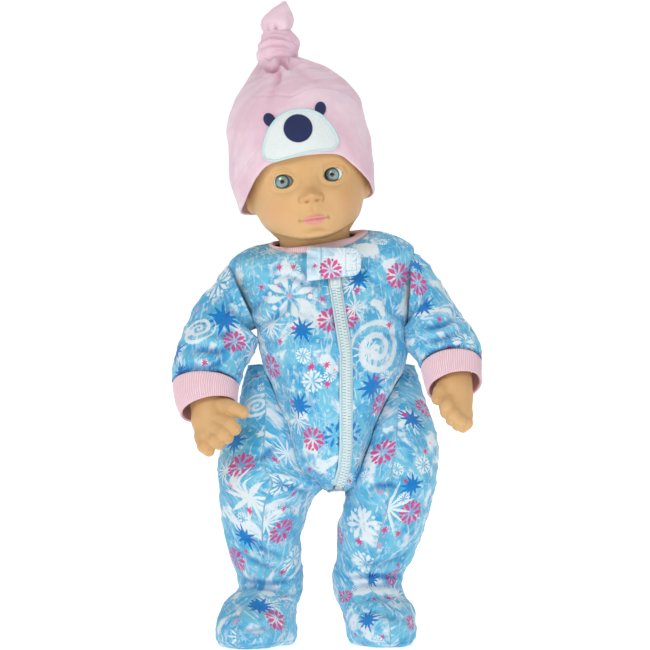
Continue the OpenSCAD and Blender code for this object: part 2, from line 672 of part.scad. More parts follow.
module tummy_button() {
    color("hotpink") translate([case_centre[0], 0, case_centre[2]]) {
        translate([0, front_y - 3.5, 0]) rotate([-90, 0, 0]) cylinder(r = button_r, h = 5);
        translate([0, front_y + case_wall + 0.05 - 0.3, 0]) rotate([-90, 0, 0]) cylinder(r = 2, h = 2.2);
    }
}

module button_spring() {
    color("silver") translate([case_centre[0], front_y + case_wall + 0.1, case_centre[2]]) rotate([-90, 0, 0])
        difference() {
            cylinder(r = 5, h = 7.8);
            translate([0, 0, -1]) cylinder(r = 4.2, h = 9);
        }
}

module power_switch() {
    color("black") translate([case_centre[0] - 1.5, back_y - 1.6, case_centre[2] + 22]) {
        cube([4, 4, 3.6], center = true);
    }
}

// ---- Arms ----
module fleece_tube(list, wall) {
    skin(concat(limb_rings(list), backwards(limb_rings(list, wall))), true);
}

module arm(list, hand) {
    mouth = list[0];
    opened = concat([[mouth[0] - 2 * unit(mouth[1]), mouth[1], mouth[2], mouth[3]]], some(list, 0, 4));
    color(skin_tone) difference() {
        union() {
            skin(limb_rings(list, 0, 16));
            for (pair = hand) hull() {
                translate(pair[0][0]) sphere(r = pair[0][1], $fn = 14);
                translate(pair[1][0]) sphere(r = pair[1][1], $fn = 14);
            }
        }
        skin(limb_rings(opened, vinyl_wall, 12));
    }
}

module arm_left() {
    arm(ARM_LEFT, HAND_LEFT);
}

module arm_right() {
    arm(ARM_RIGHT, HAND_RIGHT);
}

module sleeve_left() {
    color(fleece_blue) fleece_tube(SLEEVE_LEFT, fleece);
}

module sleeve_right() {
    color(fleece_blue) fleece_tube(SLEEVE_RIGHT, fleece);
}

module cuff_left() {
    color(rib_pink) fleece_tube(CUFF_LEFT, rib);
}

module cuff_right() {
    color(rib_pink) fleece_tube(CUFF_RIGHT, rib);
}

// ---- Legs ----
module bootie(list) {
    last = len(list) - 1;
    inner = rings_of(some(list, 2, last), fleece);
    sole = ring(list[1], fleece);
    color(fleece_blue) skin(concat(rings_of(list), backwards(inner), [sole]));
}

module leg(list, top) {
    last = len(list) - 1;
    far = fleece + 0.8;
    outer = concat([ring(raised(list[1], 0.6), far, 20)],
        rings_of(some(list, 2, last), far, 20), [ring(top, far + 1.6, 20)]);
    inner = concat([ring(raised(list[2], -2), far + vinyl_wall, 20)],
        rings_of(some(list, 3, last), far + vinyl_wall, 20), [ring(top, far + 1.6 + vinyl_wall, 20)]);
    color(skin_tone) skin(concat(outer, backwards(inner)));
}

module thigh(list) {
    top = list[len(list) - 1];
    outer = rings_of(list);
    inner = rings_of(some(list, 0, len(list) - 4), fleece);
    cap = ring([top[0] - 16, top[1], top[2], top[3] + 1.6, top[4]], 0);
    color(fleece_blue) skin(concat([cap], backwards(inner), outer));
}

module thigh_filling(list) {
    low = list[2];
    color("white") skin(concat([ring(raised(low, -8), fleece + 3.2, 16)],
        [for (s = some(list, 2, 6)) ring(s, fleece + 0.7, 16)]));
}

module bootie_left() {
    bootie(LEG_LEFT);
}

module bootie_right() {
    bootie(LEG_RIGHT);
}

module leg_left() {
    leg(LEG_LEFT, THIGH_LEFT[1]);
}

module leg_right() {
    leg(LEG_RIGHT, THIGH_RIGHT[1]);
}

module thigh_left() {
    thigh(THIGH_LEFT);
}

module thigh_right() {
    thigh(THIGH_RIGHT);
}

module thigh_filling_left() {
    thigh_filling(THIGH_LEFT);
}

module thigh_filling_right() {
    thigh_filling(THIGH_RIGHT);
}

head_shell();
neck_flange();
eye_socket(1);  // eye_socket_left
eye_socket(-1);  // eye_socket_right
eyeball(1);  // eyeball_left
eyeball(-1);  // eyeball_right
eye_pins(1);  // eye_pins_left
eye_pins(-1);  // eye_pins_right
eye_weight(1);  // eye_weight_left
eye_weight(-1);  // eye_weight_right
neck_ball();
neck_retainer();
neck_socket();
neck_tie();
hat_body();
hat_knot();
muzzle_patch();
nose_patch();
ear_patches();
cloth_body();
body_filling();
sleeper_back();
sleeper_front_left();
sleeper_front_right();
collar_rib();
zip_tape();
zip_teeth_left();
zip_teeth_right();
zip_stop();
zip_slider();
tab_flap();
flap_hook_patch();
flap_loop_patch();
case_front();
case_back();
speaker();
circuit_board();
batteries();
battery_contacts();
battery_door();
case_screws();
tummy_button();
button_spring();
power_switch();
arm_left();
arm_right();
sleeve_left();
sleeve_right();
cuff_left();
cuff_right();
leg_left();
leg_right();
thigh_left();
thigh_right();
thigh_filling_left();
thigh_filling_right();
bootie_left();
bootie_right();
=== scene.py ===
"""Looks of a soft-bodied baby doll in a footed fleece sleeper and a knotted beanie.

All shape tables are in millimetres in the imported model's frame; meshes are written in metres.
The doll faces -Y. Left and right are the doll's own, so its left is +X.
"""
import math

import bmesh
import bpy
import numpy as np
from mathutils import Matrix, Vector


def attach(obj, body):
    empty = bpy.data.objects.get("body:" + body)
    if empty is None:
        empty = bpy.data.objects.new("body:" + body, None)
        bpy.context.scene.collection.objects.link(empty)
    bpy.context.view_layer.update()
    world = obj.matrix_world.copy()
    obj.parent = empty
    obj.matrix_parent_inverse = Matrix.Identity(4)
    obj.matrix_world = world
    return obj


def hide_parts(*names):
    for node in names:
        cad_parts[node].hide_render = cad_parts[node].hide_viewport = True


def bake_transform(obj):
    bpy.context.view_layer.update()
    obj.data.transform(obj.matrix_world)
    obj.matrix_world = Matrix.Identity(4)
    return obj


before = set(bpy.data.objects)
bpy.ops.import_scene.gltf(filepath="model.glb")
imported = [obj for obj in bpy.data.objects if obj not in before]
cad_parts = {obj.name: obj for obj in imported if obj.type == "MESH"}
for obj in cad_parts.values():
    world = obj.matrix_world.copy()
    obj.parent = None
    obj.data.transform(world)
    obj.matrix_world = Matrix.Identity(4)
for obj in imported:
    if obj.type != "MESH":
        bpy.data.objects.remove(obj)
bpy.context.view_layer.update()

MM = 0.001


# ---------------------------------------------------------------- camera, floor and light
VIEW_SPAN = 435.6 * MM          # width of the view at the doll
VIEW_HEIGHT = 213.4 * MM        # height of the middle of the view
VIEW_DISTANCE = 4.0
VIEW_RISE = math.radians(2.0)


def add_camera():
    data = bpy.data.cameras.new("camera")
    data.sensor_width = 36
    data.lens = data.sensor_width * VIEW_DISTANCE / VIEW_SPAN
    data.clip_start = 0.05
    data.clip_end = 60
    camera = bpy.data.objects.new("camera", data)
    bpy.context.scene.collection.objects.link(camera)
    target = Vector((0, 0, VIEW_HEIGHT))
    camera.location = target + VIEW_DISTANCE * Vector((0, -math.cos(VIEW_RISE), math.sin(VIEW_RISE)))
    camera.rotation_euler = (target - camera.location).to_track_quat("-Z", "Y").to_euler()
    bpy.context.scene.camera = camera


def add_area_light(name, place, aim, size, watts, tint=(1, 1, 1)):
    data = bpy.data.lights.new(name, "AREA")
    data.shape = "DISK"
    data.size = size
    data.energy = watts
    data.color = tint
    lamp = bpy.data.objects.new(name, data)
    lamp.location = place
    lamp.rotation_euler = (Vector(aim) - Vector(place)).to_track_quat("-Z", "Y").to_euler()
    bpy.context.scene.collection.objects.link(lamp)


def add_studio():
    """A pale sweep of floor and wall, a soft key, a fill and a lamp from behind."""
    depth, rise, bend = 3.0, 3.2, 0.8
    profile = [(-7.0, 0.0), (depth, 0.0)]
    profile += [(depth + bend * math.sin(t), bend * (1 - math.cos(t)))
                for t in np.linspace(0.1, math.pi / 2, 14)]
    profile += [(depth + bend, rise)]
    verts = [(x, y, z) for y, z in profile for x in (-6, 6)]
    faces = [(2 * i, 2 * i + 1, 2 * i + 3, 2 * i + 2) for i in range(len(profile) - 1)]
    mesh = bpy.data.meshes.new("floor")
    mesh.from_pydata(verts, [], faces)
    floor = bpy.data.objects.new("floor", mesh)
    bpy.context.scene.collection.objects.link(floor)
    for polygon in mesh.polygons:
        polygon.use_smooth = True
    material = bpy.data.materials.new("floor_paper")
    material.use_nodes = True
    shader = material.node_tree.nodes["Principled BSDF"]
    shader.inputs["Base Color"].default_value = (0.93, 0.93, 0.935, 1)
    shader.inputs["Roughness"].default_value = 0.9
    shader.inputs["Emission Color"].default_value = (1, 1, 1, 1)
    shader.inputs["Emission Strength"].default_value = 0.5
    mesh.materials.append(material)

    world = bpy.data.worlds.new("studio")
    world.use_nodes = True
    world.node_tree.nodes["Background"].inputs["Color"].default_value = (0.97, 0.985, 1, 1)
    world.node_tree.nodes["Background"].inputs["Strength"].default_value = 0.36
    bpy.context.scene.world = world
    add_area_light("key", (-1.1, -2.2, 1.7), (0, 0, 0.22), 1.1, 27, (1, 0.985, 0.96))
    add_area_light("fill", (1.7, -2.0, 0.7), (0, 0, 0.2), 1.6, 9, (0.96, 0.98, 1))
    add_area_light("top", (0.2, 0.5, 2.0), (0, 0, 0.25), 1.0, 8)
    bpy.context.scene.view_settings.view_transform = "Standard"


add_camera()
add_studio()


# ---------------------------------------------------------------- numbers and grids
def hashed(ix, iy, iz, seed):
    """A repeatable number from 0 to 1 for each lattice point."""
    h = (ix * 374761393 + iy * 668265263 + iz * 2147483647 + seed * 974634777) & 0xFFFFFFFF
    h = ((h ^ (h >> 13)) * 1274126177) & 0xFFFFFFFF
    return ((h ^ (h >> 16)) & 0xFFFFFF) / float(0xFFFFFF)


def bumps(points, size, seed=0):
    """Smooth value noise from -1 to 1 whose lumps are about size across."""
    p = np.asarray(points, float) / np.asarray(size, float)
    base = np.floor(p).astype(np.int64)
    f = p - base
    f = f * f * f * (f * (f * 6 - 15) + 10)
    total = np.zeros(p.shape[:-1])
    for dx in (0, 1):
        for dy in (0, 1):
            for dz in (0, 1):
                corner = hashed(base[..., 0] + dx, base[..., 1] + dy, base[..., 2] + dz, seed)
                weight = (f[..., 0] if dx else 1 - f[..., 0]) * (f[..., 1] if dy else 1 - f[..., 1])
                total += corner * weight * (f[..., 2] if dz else 1 - f[..., 2])
    return total * 2 - 1


def circle(count):
    """Evenly spaced angles once round, in radians."""
    return np.linspace(0, 2 * math.pi, count, endpoint=False)


def smooth_step(x, low, high):
    t = np.clip((np.asarray(x, float) - low) / (high - low), 0, 1)
    return t * t * (3 - 2 * t)


def bell(distance, width):
    return np.exp(-(np.asarray(distance) / width) ** 2)


def smooth_rows(table, count, weights=None):
    """The rows of a table, resampled to count rows on a smooth curve through them."""
    width = max(len(row) for row in table)
    t = np.array([list(row) + [0.0] * (width - len(row)) for row in table], float)
    scale = np.ones(width) if weights is None else np.array(weights, float)
    step = np.linalg.norm(np.diff(t * scale, axis=0), axis=1)
    s = np.concatenate([[0], np.cumsum(step)])
    slope = np.gradient(t, s, axis=0)
    at = np.linspace(0, s[-1], count)
    k = np.clip(np.searchsorted(s, at, side="right") - 1, 0, len(s) - 2)
    h = (s[k + 1] - s[k])[:, None]
    u = ((at - s[k])[:, None]) / h
    return ((2 * u**3 - 3 * u**2 + 1) * t[k] + (u**3 - 2 * u**2 + u) * h * slope[k]
            + (-2 * u**3 + 3 * u**2) * t[k + 1] + (u**3 - u**2) * h * slope[k + 1])


def ring_grid(rows, angles):
    """Points of a stack of leaning ellipses: rows are [z, cx, cy, rx, ry, turn, roll, pitch, saddle]."""
    rows = np.asarray(rows, float)
    r = np.pad(rows, ((0, 0), (0, 9 - rows.shape[1])))[:, :, None]
    a = np.asarray(angles)
    u = r[:, 3] * np.cos(a)
    v = r[:, 4] * np.sin(a)
    turn, roll, pitch = (np.radians(r[:, k]) for k in (5, 6, 7))
    x = u * np.cos(roll)
    y = v * np.cos(pitch)
    z = u * np.sin(roll) + v * np.sin(pitch) + r[:, 8] * np.cos(2 * a)
    return np.stack([r[:, 1] + x * np.cos(turn) - y * np.sin(turn),
                     r[:, 2] + x * np.sin(turn) + y * np.cos(turn),
                     r[:, 0] + z], axis=-1)


def limb_rows(table, count):
    """Smooth centres, directions and radii along a limb: rows are [centre, direction, across, deep]."""
    flat = [list(c) + list(np.array(d) / np.linalg.norm(d) * 20) + [a, b] for c, d, a, b in table]
    return smooth_rows(flat, count, [1, 1, 1, 0.2, 0.2, 0.2, 0.5, 0.5])


def limb_grid(rows, angles):
    """Points of rings across a limb; angle 270 degrees faces -Y."""
    centre, way = rows[:, :3], rows[:, 3:6]
    w = way / np.linalg.norm(way, axis=1, keepdims=True)
    u = np.cross([0, 1, 0], w)
    u /= np.linalg.norm(u, axis=1, keepdims=True)
    v = np.cross(w, u)
    a = np.asarray(angles)[None, :, None]
    return (centre[:, None] + rows[:, 6, None, None] * np.cos(a) * u[:, None]
            + rows[:, 7, None, None] * np.sin(a) * v[:, None])


def grid_normals(points, closed):
    """Outward unit normals of a grid whose columns run round and whose rows run along it."""
    if closed:
        across = np.roll(points, -1, axis=1) - np.roll(points, 1, axis=1)
    else:
        across = np.gradient(points, axis=1)
    along = np.gradient(points, axis=0)
    n = np.cross(across, along)
    return n / np.maximum(np.linalg.norm(n, axis=-1, keepdims=True), 1e-9)


def run_length(points, axis):
    """Distance along rows or columns from the first point."""
    step = np.linalg.norm(np.diff(points, axis=axis), axis=-1)
    zero = np.zeros_like(np.take(step, [0], axis=axis))
    return np.concatenate([zero, np.cumsum(step, axis=axis)], axis=axis)


def measured_from(grid, start):
    """Distance round a closed grid from its start column, less the value half a turn on."""
    half = grid.shape[1] // 2
    around = run_length(np.roll(grid, -start, axis=1), 1)
    return np.roll(around - around[:, half:half + 1], start, axis=1)


def grid_faces(rows, cols, closed, start=0, flip=False):
    r, c = np.meshgrid(np.arange(rows - 1), np.arange(cols if closed else cols - 1), indexing="ij")
    nxt = (c + 1) % cols
    quads = np.stack([r * cols + c, r * cols + nxt, (r + 1) * cols + nxt, (r + 1) * cols + c], axis=-1)
    quads = quads.reshape(-1, 4) + start
    return quads[:, ::-1] if flip else quads


def bridge(first, second, closed):
    """Quads between two index loops of the same length."""
    a, b = np.asarray(first), np.asarray(second)
    if closed:
        a2, b2 = np.roll(a, -1), np.roll(b, -1)
        return np.stack([a, b, b2, a2], axis=-1)
    return np.stack([a[:-1], b[:-1], b[1:], a[1:]], axis=-1)


def make_piece(name, verts, faces, attributes=None, normals=None):
    """A smooth mesh object from points in millimetres."""
    mesh = bpy.data.meshes.new(name)
    mesh.from_pydata((np.asarray(verts).reshape(-1, 3) * MM).tolist(), [], [list(f) for f in faces])
    mesh.update()
    mesh.polygons.foreach_set("use_smooth", [True] * len(mesh.polygons))
    for key, values in (attributes or {}).items():
        data = mesh.attributes.new(key, "FLOAT_VECTOR", "POINT")
        data.data.foreach_set("vector", np.asarray(values, float).reshape(-1))
    if normals is not None:
        mesh.normals_split_custom_set_from_vertices(np.asarray(normals).reshape(-1, 3).tolist())
    piece = bpy.data.objects.new(name, mesh)
    bpy.context.scene.collection.objects.link(piece)
    return piece


def mend_mesh(piece, merge=0.0):
    """Turns every face outwards, after joining points closer than merge."""
    bm = bmesh.new()
    bm.from_mesh(piece.data)
    if merge:
        bmesh.ops.remove_doubles(bm, verts=bm.verts, dist=merge)
    bmesh.ops.recalc_face_normals(bm, faces=bm.faces)
    bm.to_mesh(piece.data)
    bm.free()


def apply_modifiers(piece):
    """Replaces the piece's mesh by what its modifiers make of it."""
    depsgraph = bpy.context.evaluated_depsgraph_get()
    mesh = bpy.data.meshes.new_from_object(piece.evaluated_get(depsgraph))
    piece.modifiers.clear()
    piece.data = mesh
    return mesh


def shell_piece(name, outer, wall, closed, cloth):
    """A sheet with thickness: the outer grid, the same grid moved in by the wall, and rims."""
    rows, cols = outer.shape[:2]
    inner = outer - grid_normals(outer, closed) * wall
    count = rows * cols
    index = np.arange(count).reshape(rows, cols)
    faces = [grid_faces(rows, cols, closed), grid_faces(rows, cols, closed, count, flip=True),
             bridge(index[0] + count, index[0], closed)[:, ::-1],
             bridge(index[-1], index[-1] + count, closed)[:, ::-1]]
    if not closed:
        faces += [bridge(index[:, 0], index[:, 0] + count, False)[:, ::-1],
                  bridge(index[:, -1] + count, index[:, -1], False)[:, ::-1]]
    verts = np.concatenate([outer.reshape(-1, 3), inner.reshape(-1, 3)])
    weave = np.concatenate([cloth.reshape(-1, 3)] * 2)
    return make_piece(name, verts, np.concatenate(faces), {"cloth": weave})


def creases(points, lines, facing=None):
    """Height and painted shade of sewn-like folds: lines are (depth, width, [(x, z), ...]) seen from the
    front.
    """
    height = np.zeros(points.shape[:-1])
    shade = np.zeros(points.shape[:-1])
    x, z = points[..., 0], points[..., 2]
    for depth, width, path in lines:
        path = np.array(path, float)
        seg = np.linalg.norm(np.diff(path, axis=0), axis=1)
        total = seg.sum()
        best = np.full(x.shape, 1e9)
        share = np.zeros(x.shape)
        walked = 0.0
        for i, length in enumerate(seg):
            d = (path[i + 1] - path[i]) / length
            t = np.clip((x - path[i, 0]) * d[0] + (z - path[i, 1]) * d[1], 0, length)
            gap = np.hypot(x - path[i, 0] - t * d[0], z - path[i, 1] - t * d[1])
            share = np.where(gap < best, (walked + t) / total, share)
            best = np.minimum(best, gap)
            walked += length
        taper = np.clip(np.sin(np.pi * np.clip(share, 0.03, 0.97)), 0, 1) ** 0.6
        groove = bell(best, width)
        lip = bell(best - 2.1 * width, 1.15 * width)
        height += taper * (-depth * groove + 0.38 * depth * lip)
        shade += taper * groove * min(1.0, abs(depth) / 2.5) * np.sign(depth)
    if facing is not None:
        height = height * facing
        shade = shade * facing
    return height, shade


def front_share(normals):
    return smooth_step(-normals[..., 1], -0.15, 0.35)


def nearest_on_front(points, normals, cloth, x, z):
    """Cloth coordinates of the front point that is seen at x, z."""
    facing = normals[..., 1] < 0.1
    gap = (points[..., 0] - x) ** 2 + (points[..., 2] - z) ** 2 + np.where(facing, 0, 1e6)
    k = np.unravel_index(np.argmin(gap), gap.shape)
    return float(cloth[k][0]), float(cloth[k][1]), float(math.sqrt(min(gap[k], 1e6)))


# ---------------------------------------------------------------- shader graphs
class Graph:
    """Short calls for building node trees."""

    def __init__(self, tree):
        self.tree = tree

    def node(self, kind, **settings):
        made = self.tree.nodes.new(kind)
        for key, value in settings.items():
            setattr(made, key, value)
        return made

    def put(self, socket, value):
        if isinstance(value, bpy.types.NodeSocket):
            self.tree.links.new(value, socket)
        elif isinstance(value, (tuple, list)) and len(value) == 3 and socket.type == "RGBA":
            socket.default_value = (*value, 1)
        else:
            socket.default_value = value

    def math(self, kind, a, b=None, c=None, clamp=False):
        made = self.node("ShaderNodeMath", operation=kind, use_clamp=clamp)
        for socket, value in zip(made.inputs, (a, b, c)):
            if value is not None:
                self.put(socket, value)
        return made.outputs[0]

    def times(self, a, b):
        return self.math("MULTIPLY", a, b)

    def plus(self, a, b):
        return self.math("ADD", a, b)

    def minus(self, a, b):
        return self.math("SUBTRACT", a, b)

    def hypot(self, a, b):
        return self.math("SQRT", self.plus(self.times(a, a), self.times(b, b)))

    def wave(self, value, pitch):
        """Sine of a value that repeats every pitch."""
        return self.math("SINE", self.times(value, 2 * math.pi / pitch))

    def vector(self, kind, a, b=None, scale=None):
        made = self.node("ShaderNodeVectorMath", operation=kind)
        self.put(made.inputs[0], a)
        if b is not None:
            self.put(made.inputs[1], b)
        if scale is not None:
            self.put(made.inputs["Scale"], scale)
        return made.outputs["Value"] if kind in ("LENGTH", "DOT_PRODUCT", "DISTANCE") else made.outputs[0]

    def split(self, vector):
        made = self.node("ShaderNodeSeparateXYZ")
        self.put(made.inputs[0], vector)
        return made.outputs

    def join(self, x, y, z=0.0):
        made = self.node("ShaderNodeCombineXYZ")
        for socket, value in zip(made.inputs, (x, y, z)):
            self.put(socket, value)
        return made.outputs[0]

    def noise(self, where, scale, detail=2.0, rough=0.5, warp=0.0, want="Fac"):
        made = self.node("ShaderNodeTexNoise")
        self.put(made.inputs["Vector"], where)
        made.inputs["Scale"].default_value = scale
        made.inputs["Detail"].default_value = detail
        made.inputs["Roughness"].default_value = rough
        made.inputs["Distortion"].default_value = warp
        return made.outputs[want]

    def ramp(self, value, low, high):
        made = self.node("ShaderNodeMapRange", interpolation_type="SMOOTHSTEP")
        self.put(made.inputs["Value"], value)
        self.put(made.inputs["From Min"], low)
        self.put(made.inputs["From Max"], high)
        return made.outputs["Result"]

    def mix(self, share, a, b, kind="MIX"):
        made = self.node("ShaderNodeMix", data_type="RGBA", blend_type=kind)
        self.put(made.inputs["Factor"], share)
        self.put(made.inputs["A"], a)
        self.put(made.inputs["B"], b)
        return made.outputs["Result"]

    def attribute(self, name):
        made = self.node("ShaderNodeAttribute", attribute_name=name)
        return made.outputs["Vector"]

    def bump(self, height, distance, strength=1.0, normal=None):
        made = self.node("ShaderNodeBump")
        self.put(made.inputs["Height"], height)
        made.inputs["Distance"].default_value = distance
        made.inputs["Strength"].default_value = strength
        if normal is not None:
            self.put(made.inputs["Normal"], normal)
        return made.outputs["Normal"]


def srgb(red, green, blue):
    """Linear colour from 0 to 255 display values."""
    return tuple(c / 12.92 if c <= 0.04045 else ((c + 0.055) / 1.055) ** 2.4
                 for c in (red / 255, green / 255, blue / 255))


def new_material(name, **settings):
    material = bpy.data.materials.new(name)
    material.use_nodes = True
    shader = material.node_tree.nodes["Principled BSDF"]
    for key, value in settings.items():
        socket = shader.inputs[key.replace("_", " ")]
        socket.default_value = (*value, 1) if socket.type == "RGBA" and len(value) == 3 else value
    return material, Graph(material.node_tree), shader


def object_place(graph):
    """Object coordinates in millimetres."""
    made = graph.node("ShaderNodeTexCoord")
    return graph.vector("SCALE", made.outputs["Object"], scale=1 / MM)


# ---- print motifs: each group turns a place on the cloth into a mask
def motif_group(name, build):
    tree = bpy.data.node_groups.new(name, "ShaderNodeTree")
    for socket, kind in (("Place", "NodeSocketVector"), ("Centre", "NodeSocketVector"),
                         ("Radius", "NodeSocketFloat"), ("Turn", "NodeSocketFloat"),
                         ("Points", "NodeSocketFloat"), ("Body", "NodeSocketFloat")):
        tree.interface.new_socket(socket, in_out="INPUT", socket_type=kind)
    tree.interface.new_socket("Mask", in_out="OUTPUT", socket_type="NodeSocketFloat")
    graph = Graph(tree)
    inside = graph.node("NodeGroupInput")
    outside = graph.node("NodeGroupOutput")
    offset = graph.vector("SUBTRACT", inside.outputs["Place"], inside.outputs["Centre"])
    x, y, _ = graph.split(offset)
    distance = graph.hypot(x, y)
    radius = graph.math("DIVIDE", distance, inside.outputs["Radius"])
    angle = graph.plus(graph.math("ARCTAN2", y, x), inside.outputs["Turn"])
    turns = graph.math("DIVIDE", angle, 2 * math.pi)
    mask = build(graph, radius, turns, inside.outputs["Points"], inside.outputs["Body"])
    graph.put(outside.inputs["Mask"], mask)
    return tree


def starburst(graph, radius, turns, points, body):
    """Thin pointed rays of uneven length round a solid middle."""
    k = graph.times(turns, points)
    index = graph.math("FLOOR", k)
    beside = graph.math("ABSOLUTE", graph.minus(graph.math("FRACT", k), 0.5))
    along = graph.minus(1.0, graph.times(beside, 2.0))
    uneven = graph.math("MULTIPLY_ADD", graph.math("SINE", graph.times(index, 2.4)), 0.14, 0.86)
    reach = graph.times(graph.math("POWER", along, 1.6), graph.minus(uneven, body))
    edge = graph.minus(graph.plus(body, reach), radius)
    return graph.ramp(edge, -0.05, 0.05)


def petals(graph, radius, turns, points, body):
    """Long petals from the middle with a small floret between each two."""
    k = graph.times(turns, points)
    arc = graph.math("DIVIDE", 2 * math.pi, points)
    beside = graph.times(graph.minus(graph.math("FRACT", k), 0.5), arc)
    across = graph.math("ABSOLUTE", graph.times(beside, radius))
    along = graph.math("MULTIPLY_ADD", radius, 1.16, -0.14, clamp=True)
    swell = graph.math("SINE", graph.times(graph.math("POWER", along, 1.35), math.pi))
    petal = graph.ramp(graph.minus(graph.times(swell, body), across), -0.03, 0.035)
    petal = graph.times(petal, graph.ramp(radius, 1.0, 0.94))
    between = graph.minus(graph.math("FRACT", graph.plus(k, 0.5)), 0.5)
    side = graph.times(graph.times(between, arc), radius)
    out = graph.minus(radius, 0.78)
    gap = graph.hypot(side, out)
    floret = graph.ramp(gap, 0.13, 0.07)
    return graph.math("MAXIMUM", petal, floret)


def swirl(graph, radius, turns, points, body):
    """A spiral band that fades at its rim."""
    phase = graph.minus(graph.times(graph.math("POWER", radius, 0.85), points), turns)
    off = graph.math("ABSOLUTE", graph.minus(graph.math("FRACT", phase), 0.5))
    band = graph.ramp(off, body, graph.plus(body, 0.13))
    return graph.times(band, graph.ramp(radius, 1.0, 0.9))


GROUPS = {"star": motif_group("starburst", starburst), "petal": motif_group("petals", petals),
          "swirl": motif_group("swirl", swirl)}

BLUE = srgb(4, 124, 204)
# deeper blue of the painted shade in the fleece folds, seams and hems
FOLD_SHADE_BLUE = srgb(52, 152, 206)
SKY = srgb(118, 202, 233)
MIDDLE = srgb(70, 174, 222)
PALE = srgb(236, 246, 250)
PINK = srgb(222, 62, 140)
ROSE = srgb(242, 148, 192)

# kind: (group, points, body, colour, strength)
KINDS = {
    "blue_star": ("star", 11, 0.38, BLUE, 0.97),
    "blue_petal": ("petal", 6, 0.13, BLUE, 0.9),
    "pink_petal": ("petal", 8, 0.15, PINK, 0.93),
    "pink_star": ("star", 7, 0.36, PINK, 0.92),
    "rose_star": ("star", 6, 0.4, ROSE, 0.85),
    "white_petal": ("petal", 8, 0.13, PALE, 0.95),
    "white_flake": ("star", 12, 0.12, PALE, 0.92),
    "white_swirl": ("swirl", 2.6, 0.2, PALE, 0.85),
}


def motif_mask(graph, place, kind, centre, radius, turn):
    group, points, body, colour, strength = KINDS[kind]
    made = graph.node("ShaderNodeGroup", node_tree=GROUPS[group])
    graph.put(made.inputs["Place"], place)
    for name, value in (("Centre", centre), ("Radius", radius), ("Turn", turn), ("Points", points),
                        ("Body", body)):
        graph.put(made.inputs[name], value)
    return made.outputs["Mask"], colour, strength


def scattered(graph, colour, place, cell, kind, radius, share, seed):
    """One small motif in a share of the cells of a loose grid."""
    cells = graph.node("ShaderNodeTexVoronoi", voronoi_dimensions="2D", feature="F1")
    moved = graph.vector("ADD", place, (seed * 37.1, seed * 11.7, 0.0))
    graph.put(cells.inputs["Vector"], graph.vector("SCALE", moved, scale=1.0 / cell))
    cells.inputs["Scale"].default_value = 1.0
    centre = graph.vector("SCALE", cells.outputs["Position"], scale=cell)
    chance = graph.split(cells.outputs["Color"])
    turn = graph.times(chance[1], 6.0)
    mask, tint, strength = motif_mask(graph, moved, kind, centre, radius, turn)
    kept = graph.math("LESS_THAN", chance[0], share)
    share_here = graph.times(graph.times(mask, kept), strength)
    return graph.mix(share_here, colour, tint)


